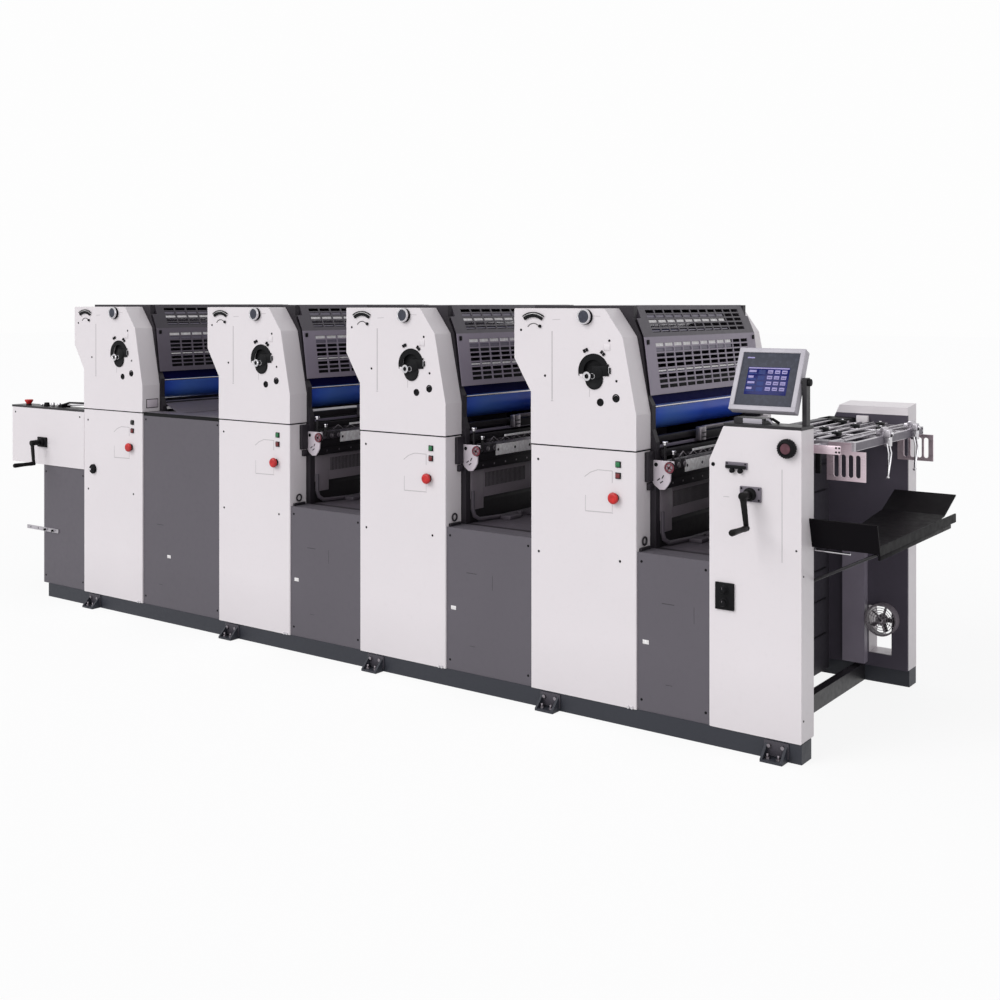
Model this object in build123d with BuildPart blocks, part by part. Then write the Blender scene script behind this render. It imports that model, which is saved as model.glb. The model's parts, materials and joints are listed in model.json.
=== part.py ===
from build123d import *
import os
from math import cos, radians, sin

os.makedirs("parts", exist_ok=True)

# A four-unit sheet-fed offset printing press. X runs from the feeder to the
# delivery, Y from the operating side to the drive side, Z upwards. The origin
# is on the floor, under the middle of the base.

# Plan of the machine, in millimetres
machine_width = 1300.0
housing_depth = 117.0
housing_width = 519.0
feeder_reach = 700.0
feeder_panel_reach = 393.0
base_reach = 342.0
closed_bay = 618.0
open_bay = 468.0
delivery_bay = 328.0
column_width = 379.0

# Heights above the floor
base_height = 76.0
seam_height = 1121.0
upper_height = 579.0
column_top = 1247.0
cover_top = 714.0
feeder_split = 768.0
feeder_top = 1097.0

# Outline of an upper housing
upper_overhang = 87.0
overhang_face = 214.0
overhang_slope = 143.0
front_rise = 147.0
shoulder_drop = 117.0
shoulder_setback = 64.0
top_setback = 150.0
corner_radius = 5.0
seam_gap = 3.0

# Base
beam_width = 90.0
beam_inset = 4.0
floor_slab_height = 60.0
floor_slab_setback = 100.0
cross_bar_thickness = 40.0
cross_bar_setback = 205.0
foot_width = 90.0
foot_reach = 55.0
foot_thickness = 10.0
foot_offset = 100.0

# Side frames and what they carry
frame_thickness = 30.0
frame_inset = 15.0
frame_nose = 26.0
frame_rise = 12.0
rear_cover_sheet = 10.0
rear_cover_gap = 6.0
pivot_to_cover = 26.0
deck_sheet = 12.0
cylinder_radius = 95.0
cylinder_setback = 124.0
cylinder_rise = 154.0
journal_radius = 25.0
journal_fit = 0.05
body_side_gap = 6.0
roller_radius = 34.0

# Guard grille
guard_sheet = 3.0
guard_top_setback = 89.0
guard_top_rise = 13.0
guard_fold_setback = 32.0
guard_fold_drop = 120.0
guard_foot_rise = 66.0
guard_notch_drop = 40.0
guard_pivot_setback = 95.0
guard_pivot_drop = 2.0
pivot_radius = 6.0
ear_radius = 13.0
ear_thickness = 8.0
slot_margin = 50.0
slot_width = 71.0
slot_pitch = 81.0
slot_height = 15.0
slot_row_pitch = 22.0

# Delivery
cover_inset = 8.0
tray_reach = 263.0
tray_sheet = 6.0
top_plate_sheet = 12.0

half_width = machine_width / 2
near_face = -half_width
far_face = half_width
near_inner = near_face + housing_depth
far_inner = far_face - housing_depth
frame_near = near_inner + frame_thickness
frame_far = far_inner - frame_thickness
base_length = (
    base_reach + 4 * housing_width + closed_bay + 2 * open_bay + delivery_bay + column_width
)
base_left = -base_length / 2
base_right = base_length / 2
unit_lefts = [base_left + base_reach]
for bay in (closed_bay, open_bay, open_bay):
    unit_lefts.append(unit_lefts[-1] + housing_width + bay)
column_left = base_right - column_width
bay_rights = unit_lefts[1:] + [column_left]
feeder_left = unit_lefts[0] - feeder_reach

housing_top = seam_height + upper_height
overhang_shoulder = housing_top - overhang_face
overhang_bottom = overhang_shoulder - overhang_slope
front_knee = seam_height + front_rise
front_shoulder = housing_top - shoulder_drop
cylinder_height = seam_height + cylinder_rise
guard_pivot_z = housing_top - guard_pivot_drop
guard_notch_z = housing_top - guard_notch_drop
guard_foot_z = cylinder_height + guard_foot_rise


def bar(low, high, mode=Mode.ADD):
    """A rectangular block between two opposite corners."""
    with Locations(low):
        Box(
            high[0] - low[0],
            high[1] - low[1],
            high[2] - low[2],
            align=(Align.MIN, Align.MIN, Align.MIN),
            mode=mode,
        )


def plate_xz(points, y_low, y_high, mode=Mode.ADD):
    """A plate whose outline lies in the X-Z plane."""
    with BuildSketch(Plane.XZ.offset(-y_high)) as outline:
        with BuildLine():
            Polyline(*points, close=True)
        make_face()
    extrude(outline.sketch, amount=y_high - y_low, mode=mode)


def plate_yz(points, x_low, x_high, mode=Mode.ADD):
    """A plate whose outline lies in the Y-Z plane."""
    with BuildSketch(Plane.YZ.offset(x_low)) as outline:
        with BuildLine():
            Polyline(*points, close=True)
        make_face()
    extrude(outline.sketch, amount=x_high - x_low, mode=mode)


def rod(start, end, radius, mode=Mode.ADD):
    """A round bar from one point to another."""
    run = Vector(*end) - Vector(*start)
    with BuildSketch(Plane(origin=start, z_dir=run)) as section:
        Circle(radius)
    extrude(section.sketch, amount=run.length, mode=mode)


def cross_rod(x, z, radius, y_low, y_high, mode=Mode.ADD):
    """A round bar across the machine."""
    rod((x, y_low, z), (x, y_high, z), radius, mode)


def bent_sheet(path, thickness):
    """Outline of a sheet bent along a path, with its thickness on the left of the path."""
    points = [Vector(x, z) for x, z in path]
    normals = []
    for first, second in zip(points, points[1:]):
        along = (second - first).normalized()
        normals.append(Vector(-along.Y, along.X))
    inner = [points[0] + normals[0] * thickness]
    for corner, before, after in zip(points[1:-1], normals, normals[1:]):
        middle = (before + after).normalized()
        inner.append(corner + middle * (thickness / middle.dot(before)))
    inner.append(points[-1] + normals[-1] * thickness)
    return [(p.X, p.Y) for p in points] + [(p.X, p.Y) for p in reversed(inner)]


# Base beams, with the levelling feet that are bolted to their outer faces
foot_places = [left + foot_offset for left in unit_lefts] + [base_right - foot_offset]


def base_beam(side):
    """A base beam and its feet; side is -1 on the operating side and 1 on the drive side."""
    outer = side * (half_width - beam_inset)
    inner = side * (half_width - beam_inset - beam_width)
    tip = side * (half_width - beam_inset + foot_reach)
    bar((base_left, min(outer, inner), 0), (base_right, max(outer, inner), base_height))
    for x in foot_places:
        plate_low = (x - foot_width / 2, min(outer, tip), 0)
        plate_high = (x + foot_width / 2, max(outer, tip), foot_thickness)
        bar(plate_low, plate_high)
        for rib in (x - foot_width / 2, x + foot_width / 2 - foot_thickness):
            outline = [(outer, 0), (tip, 0), (tip, foot_thickness), (outer, base_height - foot_thickness)]
            plate_yz(outline, rib, rib + foot_thickness)


with BuildPart() as base_beam_near:
    base_beam(-1)
base_beam_near.part.label = "base_beam_near"
export_step(base_beam_near.part, "parts/base_beam_near.step")

with BuildPart() as base_beam_far:
    base_beam(1)
base_beam_far.part.label = "base_beam_far"
export_step(base_beam_far.part, "parts/base_beam_far.step")

beam_inner = half_width - beam_inset - beam_width
with BuildPart() as base_floor:
    bar((base_left, -beam_inner, 0), (column_left - floor_slab_setback, beam_inner, floor_slab_height))
base_floor.part.label = "base_floor"
export_step(base_floor.part, "parts/base_floor.step")

with BuildPart() as delivery_cross_bar:
    bar_left = base_right - cross_bar_setback - cross_bar_thickness
    bar((bar_left, -beam_inner, 0), (bar_left + cross_bar_thickness, beam_inner, base_height))
delivery_cross_bar.part.label = "delivery_cross_bar"
export_step(delivery_cross_bar.part, "parts/delivery_cross_bar.step")

# Side frames: one long plate a side, with a tower in each unit
frame_shoulder_setback = 44.0
frame_top_setback = 80.0
frame_foot_setback = 10.0
frame_foot_gap = 8.0
frame_lip = 8.0
frame_lip_high = cylinder_height + 25.0
frame_lip_low = seam_height + 79.0
frame_nose_top = seam_height + 29.0
frame_head = housing_top + frame_rise
frame_step_rise = 22.0
frame_step = feeder_split + frame_step_rise
feeder_frame_inset = 20.0
frame_overhang_setback = 27.0
frame_overhang = upper_overhang - frame_overhang_setback


def tower(left, rise_from, fall_to):
    """Upward outline of one unit's frame, from its feeder side to its delivery side."""
    right = left + housing_width
    return [
        (left + frame_inset, rise_from),
        (left + frame_inset, overhang_bottom),
        (left - frame_overhang, overhang_shoulder),
        (left - frame_overhang, frame_head),
        (right - frame_top_setback, frame_head),
        (right - frame_top_setback, guard_notch_z),
        (right - frame_shoulder_setback, front_shoulder),
        (right - frame_foot_setback, guard_foot_z - frame_foot_gap),
        (right + frame_lip, frame_lip_high),
        (right + frame_lip, frame_lip_low),
        (right + frame_nose, frame_nose_top),
        (right + frame_nose, fall_to),
    ]


def side_frame(y_low, y_high):
    """One side frame with its journal bores and guard pivots."""
    deck_heights = [seam_height - deck_sheet, cover_top, cover_top]
    feeder_deck = feeder_top - feeder_frame_inset
    outline = [(unit_lefts[0] - base_reach, base_height)]
    outline.append((unit_lefts[0] - base_reach, frame_step))
    outline.append((feeder_left + feeder_frame_inset, frame_step))
    outline.append((feeder_left + feeder_frame_inset, feeder_deck))
    rises = [feeder_deck] + deck_heights
    falls = deck_heights + [cover_top]
    for left, rise_from, fall_to in zip(unit_lefts, rises, falls):
        outline += tower(left, rise_from, fall_to)
    outline.append((column_left, cover_top))
    outline.append((column_left, base_height))
    plate_xz(outline, y_low, y_high)
    for left in unit_lefts:
        bore_x = left + housing_width - cylinder_setback
        cross_rod(bore_x, cylinder_height, journal_radius + journal_fit, y_low, y_high, Mode.SUBTRACT)


pivot_reach = body_side_gap + ear_thickness

with BuildPart() as side_frame_near:
    side_frame(near_inner, frame_near)
    for left in unit_lefts:
        pivot_x = left + housing_width - guard_pivot_setback
        cross_rod(pivot_x, guard_pivot_z, pivot_radius, frame_near, frame_near + pivot_reach)
side_frame_near.part.label = "side_frame_near"
export_step(side_frame_near.part, "parts/side_frame_near.step")

with BuildPart() as side_frame_far:
    side_frame(frame_far, far_inner)
    for left in unit_lefts:
        pivot_x = left + housing_width - guard_pivot_setback
        cross_rod(pivot_x, guard_pivot_z, pivot_radius, frame_far - pivot_reach, frame_far)
side_frame_far.part.label = "side_frame_far"
export_step(side_frame_far.part, "parts/side_frame_far.step")

# Housings of the four units
ring_setback = 203.0
ring_drop = 259.0
ring_radius = 57.0
ring_depth = 14.0
ring_z = housing_top - ring_drop
low_hole_setback = 173.0
low_hole_rise = 192.0
low_hole_radius = 15.0
side_hole_setback = 95.0
side_hole_rise = 210.0
side_hole_radius = 13.0
recesses = [
    (ring_setback, ring_z, ring_radius),
    (low_hole_setback, seam_height + low_hole_rise, low_hole_radius),
    (side_hole_setback, seam_height + side_hole_rise, side_hole_radius),
]


def upper_outline(left):
    """Outline of an upper housing."""
    right = left + housing_width
    return [
        (left, seam_height),
        (left, overhang_bottom),
        (left - upper_overhang, overhang_shoulder),
        (left - upper_overhang, housing_top),
        (right - top_setback, housing_top),
        (right - shoulder_setback, front_shoulder),
        (right, front_knee),
        (right, seam_height),
    ]


def housing(left, y_low, y_high):
    """A unit's lower and upper housing on one side, with a seam between them."""
    with BuildPart(mode=Mode.PRIVATE) as lower:
        bar((left, y_low, base_height), (left + housing_width, y_high, seam_height - seam_gap))
        fillet(lower.edges().filter_by(Axis.Z), corner_radius)
    with BuildPart(mode=Mode.PRIVATE) as upper:
        plate_xz(upper_outline(left), y_low, y_high)
        fillet(upper.edges().filter_by(Axis.Y), corner_radius)
    add(lower.part)
    add(upper.part)


for number, left in enumerate(unit_lefts, 1):
    with BuildPart() as housing_near:
        housing(left, near_face, near_inner)
        recess_floor = near_face + ring_depth
        for setback, z, radius in recesses:
            x = left + housing_width - setback
            cross_rod(x, z, radius, near_face, recess_floor, Mode.SUBTRACT)
    housing_near.part.label = f"unit_{number}_housing_near"
    export_step(housing_near.part, f"parts/unit_{number}_housing_near.step")

    with BuildPart() as housing_far:
        housing(left, far_inner, far_face)
    housing_far.part.label = f"unit_{number}_housing_far"
    export_step(housing_far.part, f"parts/unit_{number}_housing_far.step")

# Bent covers over the inking rollers and down the feeder side of each unit
rear_cover_edge = housing_width - guard_pivot_setback - pivot_to_cover
rear_cover_feet = [feeder_top, seam_height, cover_top, cover_top]

with BuildPart() as unit_rear_covers:
    for left, foot in zip(unit_lefts, rear_cover_feet):
        path = [
            (left + rear_cover_edge, frame_head),
            (left - frame_overhang, frame_head),
            (left - frame_overhang, overhang_shoulder),
            (left + frame_inset, overhang_bottom),
            (left + frame_inset, foot + rear_cover_gap),
        ]
        plate_xz(bent_sheet(path, rear_cover_sheet), frame_near, frame_far)
unit_rear_covers.part.label = "unit_rear_covers"
export_step(unit_rear_covers.part, "parts/unit_rear_covers.step")

# Inking and damping rollers behind the guards
# given as setbacks from a unit's delivery edge and drops from its top
roller_places = [(399.0, 80.0), (304.0, 110.0), (209.0, 75.0), (134.0, 145.0), (219.0, 200.0)]

with BuildPart() as ink_rollers:
    for left in unit_lefts:
        for setback, drop in roller_places:
            x = left + housing_width - setback
            cross_rod(x, housing_top - drop, roller_radius, frame_near, frame_far)
ink_rollers.part.label = "ink_rollers"
export_step(ink_rollers.part, "parts/ink_rollers.step")

# Blanket cylinders, each on two journals in the side frames
journal_end = 2.0
cylinder_low = frame_near + body_side_gap
cylinder_high = frame_far - body_side_gap

for number, left in enumerate(unit_lefts, 1):
    with BuildPart() as blanket_cylinder:
        x = left + housing_width - cylinder_setback
        cross_rod(x, cylinder_height, cylinder_radius, cylinder_low, cylinder_high)
        cross_rod(x, cylinder_height, journal_radius, near_inner + journal_end, far_inner - journal_end)
    blanket_cylinder.part.label = f"unit_{number}_blanket_cylinder"
    export_step(blanket_cylinder.part, f"parts/unit_{number}_blanket_cylinder.step")

# Guard grilles: a folded sheet with rows of slots, hung from two pivots
# The sheet covers the edges of the side frames; its top corners are notched for the pivots
ear_low = frame_near + body_side_gap
ear_high = frame_far - body_side_gap
guard_low = near_inner + body_side_gap
guard_high = far_inner - body_side_gap
slot_bridge = slot_pitch - slot_width
slot_columns = int((guard_high - guard_low - 2 * slot_margin + slot_bridge) / slot_pitch)
upper_rows = 5
front_rows = 9


def sheet_plane(top, bottom):
    """Plane on the middle of a guard face, with its normal outwards."""
    run_x = bottom[0] - top[0]
    run_z = bottom[1] - top[1]
    origin = ((top[0] + bottom[0]) / 2, 0, (top[1] + bottom[1]) / 2)
    return Plane(origin=origin, x_dir=(0, 1, 0), z_dir=(-run_z, 0, run_x))


def guard(left):
    """A guard grille with its slots, its notched corners and its two ears."""
    right = left + housing_width
    top = (right - guard_top_setback, housing_top + guard_top_rise)
    fold = (right - guard_fold_setback, housing_top - guard_fold_drop)
    foot = (right, guard_foot_z)
    path = [foot, fold, top]
    plate_xz(bent_sheet(path, guard_sheet), guard_low, guard_high)
    for y_low, y_high in ((guard_low, ear_low), (ear_high, guard_high)):
        bar((top[0] - slot_height, y_low, guard_notch_z), (right, y_high, frame_head + guard_sheet), Mode.SUBTRACT)
    for start, end, rows in ((top, fold, upper_rows), (fold, foot, front_rows)):
        with BuildSketch(sheet_plane(start, end)) as slots:
            with GridLocations(slot_pitch, slot_row_pitch, slot_columns, rows):
                Rectangle(slot_width, slot_height)
        extrude(slots.sketch, amount=-2 * guard_sheet, mode=Mode.SUBTRACT)
    pivot_x = right - guard_pivot_setback
    for y in (ear_low, ear_high - ear_thickness):
        ear = [
            (pivot_x - ear_radius, guard_pivot_z - ear_radius),
            (fold[0] - 2 * guard_sheet, fold[1]),
            (fold[0] - guard_sheet / 2, fold[1]),
            (top[0] - guard_sheet / 2, top[1] - guard_sheet / 2),
            (pivot_x - ear_radius, top[1] - guard_sheet / 2),
        ]
        plate_xz(ear, y, y + ear_thickness)
        bore = pivot_radius + journal_fit
        cross_rod(pivot_x, guard_pivot_z, bore, y, y + ear_thickness, Mode.SUBTRACT)


for number, left in enumerate(unit_lefts, 1):
    with BuildPart() as guard_grille:
        guard(left)
    guard_grille.part.label = f"unit_{number}_guard"
    export_step(guard_grille.part, f"parts/unit_{number}_guard.step")

# Fittings on the operating side of the units
scale_x = 14.0
scale_drop = 60.0
scale_outer = 50.0
scale_inner = 34.0
scale_depth = 14.0
top_knob_setback = 250.0
top_knob_drop = 31.0
top_knob_radius = 28.0
top_knob_depth = 20.0
hub_setback = 222.0
hub_drop = 21.0
hub_radius = 20.0
hub_reach = 12.0
button_setback = 84.0
green_drop = 58.0
red_drop = 104.0
button_size = 22.0
button_reach = 9.0
stop_setback = 100.0
stop_drop = 196.0
stop_radius = 27.0
stop_stem = 15.0
stop_neck = 14.0
stop_cap = 14.0


def mushroom(x, y, z):
    """A mushroom-headed stop button facing the operator."""
    cross_rod(x, z, stop_stem, y - stop_neck, y)
    cross_rod(x, z, stop_radius, y - stop_neck - stop_cap, y - stop_neck)


def unit_fittings(left):
    """Scale arc, knob, hub, two keys and stop button of one unit."""
    right = left + housing_width
    with BuildSketch(Plane.XZ.offset(-near_face)) as arch:
        with Locations((left + scale_x, housing_top - scale_drop)):
            Circle(scale_outer)
            Circle(scale_inner, mode=Mode.SUBTRACT)
            Rectangle(2 * scale_outer, scale_outer, align=(Align.CENTER, Align.MAX), mode=Mode.SUBTRACT)
    extrude(arch.sketch, amount=scale_depth)
    x = right - top_knob_setback
    cross_rod(x, housing_top - top_knob_drop, top_knob_radius, near_face - top_knob_depth, near_face)
    hub_z = ring_z - hub_drop
    cross_rod(right - hub_setback, hub_z, hub_radius, near_face - hub_reach, near_face + ring_depth)
    half = button_size / 2
    x = right - button_setback
    for drop in (green_drop, red_drop):
        z = seam_height - drop
        bar((x - half, near_face - button_reach, z - half), (x + half, near_face, z + half))
    mushroom(right - stop_setback, near_face, seam_height - stop_drop)


# Grey lower covers between the housings
cover_low = near_face + cover_inset


def lower_covers(y_low, y_high):
    """The feeder panel, the tall closed bay panel and three bay covers of one side."""
    spans = [(unit_lefts[0] - feeder_panel_reach, unit_lefts[0], feeder_split)]
    spans.append((unit_lefts[0] + housing_width, unit_lefts[1], seam_height))
    for left, right in zip(unit_lefts[1:], bay_rights[1:]):
        spans.append((left + housing_width, right, cover_top))
    for x_low, x_high, top in spans:
        bar((x_low, y_low, base_height), (x_high, y_high, top))


with BuildPart() as lower_covers_near:
    lower_covers(near_face + cover_inset, near_inner)
lower_covers_near.part.label = "lower_covers_near"
export_step(lower_covers_near.part, "parts/lower_covers_near.step")

with BuildPart() as lower_covers_far:
    lower_covers(far_inner, far_face - cover_inset)
lower_covers_far.part.label = "lower_covers_far"
export_step(lower_covers_far.part, "parts/lower_covers_far.step")

# Decks across the bays, between the side frames
with BuildPart() as bay_decks:
    tops = [seam_height - deck_sheet, cover_top, cover_top, cover_top]
    for left, right, top in zip(unit_lefts, bay_rights, tops):
        low = (left + housing_width + frame_nose, frame_near, top - deck_sheet)
        right_edge = right if right == column_left else right + frame_inset
        bar(low, (right_edge, frame_far, top))
bay_decks.part.label = "bay_decks"
export_step(bay_decks.part, "parts/bay_decks.step")

# Rails at the delivery side of each unit
nip_rod_setback = 2.0
nip_rod_rise = 17.0
nip_rod_radius = 3.0
dark_bar_setback = 14.0
dark_bar_rise = 24.0
dark_bar_size = 26.0
strip_reach = 12.0
strip_rise = 3.0
strip_size = 12.0
rail_reach = 53.0
rail_drop = 83.0
rail_height = 40.0
rail_thickness = 12.0
bracket_start = 11.0
bracket_end = 131.0
bracket_hang = 76.0
bracket_rise = 4.0
bracket_cut = 34.0
bracket_sheet = 8.0
dial_reach = 69.0
dial_rise = 12.0
dial_radius = 19.0
dial_depth = 18.0

rail_low = seam_height - rail_drop
rail_high = rail_low + rail_height
bracket_low = rail_low - bracket_hang
bracket_high = rail_high + bracket_rise
unit_rights = [left + housing_width for left in unit_lefts]

with BuildPart() as unit_rails:
    for right in unit_rights:
        nip_x = right - nip_rod_setback
        nip_z = cylinder_height + nip_rod_rise
        cross_rod(nip_x, nip_z, nip_rod_radius, frame_near, frame_far)
        low = (right - dark_bar_setback, frame_near, seam_height + dark_bar_rise)
        bar(low, (low[0] + dark_bar_size, frame_far, low[2] + dark_bar_size))
    for right in unit_rights[1:]:
        low = (right + strip_reach, frame_near, seam_height + strip_rise)
        bar(low, (low[0] + strip_size, frame_far, low[2] + strip_size))
        low = (right + rail_reach, frame_near + bracket_sheet, rail_low)
        bar(low, (low[0] + rail_thickness, frame_far - bracket_sheet, rail_high))
unit_rails.part.label = "unit_rails"
export_step(unit_rails.part, "parts/unit_rails.step")


def rail_bracket(right, y_low):
    """The plate that carries a rail beyond the edge of a side frame."""
    outline = [
        (right + bracket_start, bracket_low),
        (right + bracket_end - bracket_cut, bracket_low),
        (right + bracket_end, bracket_low + bracket_cut),
        (right + bracket_end, bracket_high),
        (right + bracket_start, bracket_high),
    ]
    plate_xz(outline, y_low, y_low + bracket_sheet)


with BuildPart() as rail_brackets_near:
    for right in unit_rights[1:]:
        rail_bracket(right, frame_near)
        dial_z = rail_low + dial_rise
        cross_rod(right + dial_reach, dial_z, dial_radius, frame_near - dial_depth, frame_near)
rail_brackets_near.part.label = "rail_brackets_near"
export_step(rail_brackets_near.part, "parts/rail_brackets_near.step")

with BuildPart() as rail_brackets_far:
    for right in unit_rights[1:]:
        rail_bracket(right, frame_far - bracket_sheet)
rail_brackets_far.part.label = "rail_brackets_far"
export_step(rail_brackets_far.part, "parts/rail_brackets_far.step")

# Transfer guides below the rails of the open bays
guide_top_setback = 19.0
guide_bottom_reach = 13.0
guide_overlap = 6.0
guide_bend_share = 0.34
guide_sheet = 10.0
guide_top_z = bracket_low + guide_overlap
guide_bend_z = cover_top + guide_bend_share * (guide_top_z - cover_top)

with BuildPart() as transfer_guides:
    for right in unit_rights[1:]:
        guide_foot = (right + guide_bottom_reach, cover_top - deck_sheet)
        guide_bend = (right + guide_bottom_reach, guide_bend_z)
        guide_top = (right - guide_top_setback, guide_top_z)
        plate_xz(bent_sheet([guide_foot, guide_bend, guide_top], guide_sheet), frame_near, frame_far)
transfer_guides.part.label = "transfer_guides"
export_step(transfer_guides.part, "parts/transfer_guides.step")

# Feeder
feeder_cap_sheet = 12.0
feeder_seam = 2.0
feeder_bottom = feeder_split + feeder_seam


def feeder_housing(y_low, y_high):
    """The white feeder housing of one side."""
    low = (feeder_left, y_low, feeder_bottom)
    bar(low, (unit_lefts[0], y_high, feeder_top))


with BuildPart() as feeder_housing_near:
    feeder_housing(near_face, near_inner)
    fillet(feeder_housing_near.edges().filter_by(Axis.Y).group_by(Axis.X)[0], corner_radius)
feeder_housing_near.part.label = "feeder_housing_near"
export_step(feeder_housing_near.part, "parts/feeder_housing_near.step")

with BuildPart() as feeder_housing_far:
    feeder_housing(far_inner, far_face)
    fillet(feeder_housing_far.edges().filter_by(Axis.Y).group_by(Axis.X)[0], corner_radius)
feeder_housing_far.part.label = "feeder_housing_far"
export_step(feeder_housing_far.part, "parts/feeder_housing_far.step")

cap_lip = 6.0
cap_left = feeder_left - cap_lip
cap_top = feeder_top + feeder_cap_sheet
with BuildPart() as feeder_cap_near:
    bar((cap_left, near_face, feeder_top), (unit_lefts[0], near_inner, cap_top))
feeder_cap_near.part.label = "feeder_cap_near"
export_step(feeder_cap_near.part, "parts/feeder_cap_near.step")

with BuildPart() as feeder_cap_far:
    bar((cap_left, far_inner, feeder_top), (unit_lefts[0], far_face, cap_top))
feeder_cap_far.part.label = "feeder_cap_far"
export_step(feeder_cap_far.part, "parts/feeder_cap_far.step")

feed_board_sheet = 16.0
feed_board_top = feeder_top - feeder_frame_inset
feed_board_left = 330.0
with BuildPart() as feed_board:
    low = (unit_lefts[0] - feed_board_left, frame_near, feed_board_top - feed_board_sheet)
    bar(low, (unit_lefts[0] + frame_inset, frame_far, feed_board_top))
feed_board.part.label = "feed_board"
export_step(feed_board.part, "parts/feed_board.step")

suction_bar_places = [60.0, 140.0, 230.0]
suction_bar_radius = 10.0
suction_bar_drop = 45.0
with BuildPart() as feeder_head_bars:
    for place in suction_bar_places:
        bar_z = feeder_top - suction_bar_drop
        cross_rod(feeder_left + place, bar_z, suction_bar_radius, frame_near, frame_far)
feeder_head_bars.part.label = "feeder_head_bars"
export_step(feeder_head_bars.part, "parts/feeder_head_bars.step")

pile_board_rise = 52.0
pile_board_sheet = 30.0
with BuildPart() as pile_board:
    low = (feeder_left + feeder_frame_inset, frame_near, feeder_split + pile_board_rise)
    bar(low, (unit_lefts[0] - feed_board_left, frame_far, low[2] + pile_board_sheet))
pile_board.part.label = "pile_board"
export_step(pile_board.part, "parts/pile_board.step")

guide_strip_reach = 553.0
guide_strip_end = 246.0
guide_strip_z = 378.0
guide_strip_height = 22.0
guide_strip_sheet = 6.0
guide_strip_hole = 5.0
guide_strip_shares = (0.12, 0.36, 0.60, 0.84)
with BuildPart() as feeder_guide_strip:
    low = (unit_lefts[0] - guide_strip_reach, cover_low - guide_strip_sheet, guide_strip_z)
    high = (unit_lefts[0] - guide_strip_end, cover_low, guide_strip_z + guide_strip_height)
    bar(low, high)
    for share in guide_strip_shares:
        x = low[0] + share * (high[0] - low[0])
        z = guide_strip_z + guide_strip_height / 2
        cross_rod(x, z, guide_strip_hole, low[1], high[1], Mode.SUBTRACT)
feeder_guide_strip.part.label = "feeder_guide_strip"
export_step(feeder_guide_strip.part, "parts/feeder_guide_strip.step")

# Hand cranks of the feeder and the delivery, on square bearing plates
crank_plate_width = 88.0
crank_plate_height = 58.0
crank_plate_sheet = 10.0
crank_bearing_radius = 22.0
crank_bearing_reach = 26.0
crank_shaft_radius = 11.0
crank_arm_length = 120.0
crank_arm_reach = 39.0
crank_arm_width = 22.0
crank_arm_sheet = 13.0
crank_hub_radius = 16.0
crank_grip_radius = 13.0
crank_grip_length = 125.0
crank_lean = 7.0
crank_gap = 0.4
crank_socket = 18.0


def crank_plate(x, z):
    """The bearing plate of a crank, with its bearing and shaft socket."""
    half_w = crank_plate_width / 2
    half_h = crank_plate_height / 2
    bar((x - half_w, near_face - crank_plate_sheet, z - half_h), (x + half_w, near_face, z + half_h))
    cross_rod(x, z, crank_bearing_radius, near_face - crank_bearing_reach, near_face - crank_plate_sheet)
    bore = crank_shaft_radius + journal_fit
    bore_end = near_face - crank_bearing_reach + crank_socket
    cross_rod(x, z, bore, near_face - crank_bearing_reach, bore_end, Mode.SUBTRACT)


def crank(x, z):
    """A crank: shaft, hub, arm hanging a little towards the delivery, and grip."""
    hub_back = near_face - crank_bearing_reach - crank_gap
    arm_back = hub_back - crank_arm_reach
    arm_front = arm_back - crank_arm_sheet
    shaft_end = near_face - crank_bearing_reach + crank_socket - crank_gap
    cross_rod(x, z, crank_shaft_radius, arm_front, shaft_end)
    lean = radians(crank_lean)
    tip_x = x + crank_arm_length * sin(lean)
    tip_z = z - crank_arm_length * cos(lean)
    across = (cos(lean) * crank_arm_width / 2, sin(lean) * crank_arm_width / 2)
    arm = [
        (x - across[0], z - across[1]),
        (x + across[0], z + across[1]),
        (tip_x + across[0], tip_z + across[1]),
        (tip_x - across[0], tip_z - across[1]),
    ]
    plate_xz(arm, arm_front, arm_back)
    cross_rod(x, z, crank_hub_radius, arm_front, hub_back)
    cross_rod(tip_x, tip_z, crank_arm_width / 2, arm_front, arm_back)
    cross_rod(tip_x, tip_z, crank_grip_radius, arm_front - crank_grip_length, arm_front)


feeder_crank_reach = 307.0
feeder_crank_rise = 134.0
feeder_crank_x = feeder_left + feeder_crank_reach
feeder_crank_z = feeder_split + feeder_crank_rise
delivery_crank_setback = 203.0
delivery_crank_drop = 253.0
delivery_crank_x = base_right - delivery_crank_setback
delivery_crank_z = column_top - delivery_crank_drop

with BuildPart() as feeder_crank:
    crank(feeder_crank_x, feeder_crank_z)
feeder_crank.part.label = "feeder_crank"
export_step(feeder_crank.part, "parts/feeder_crank.step")

with BuildPart() as delivery_crank:
    crank(delivery_crank_x, delivery_crank_z)
delivery_crank.part.label = "delivery_crank"
export_step(delivery_crank.part, "parts/delivery_crank.step")

# Delivery columns
column_chamfer_run = 60.0
column_chamfer_rise = 132.0
hood_inner_rise = 7.0
hood_outer_rise = 20.0
hood_lip = 35.0
side_plate_sheet = 12.0
window_setback = 181.0
window_width = 108.0
window_low = 135.0
window_height = 215.0

with BuildPart() as delivery_column_near:
    outline = [
        (column_left, base_height),
        (base_right, base_height),
        (base_right, column_top),
        (column_left + column_chamfer_run, column_top),
        (column_left, column_top - column_chamfer_rise),
    ]
    plate_xz(outline, near_face, near_inner)
    fillet(delivery_column_near.edges().filter_by(Axis.Y), corner_radius)
delivery_column_near.part.label = "delivery_column_near"
export_step(delivery_column_near.part, "parts/delivery_column_near.step")

side_plate_back = far_inner + side_plate_sheet
side_plate_top = column_top + hood_inner_rise - hood_lip
hood_top = column_top + hood_outer_rise


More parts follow.
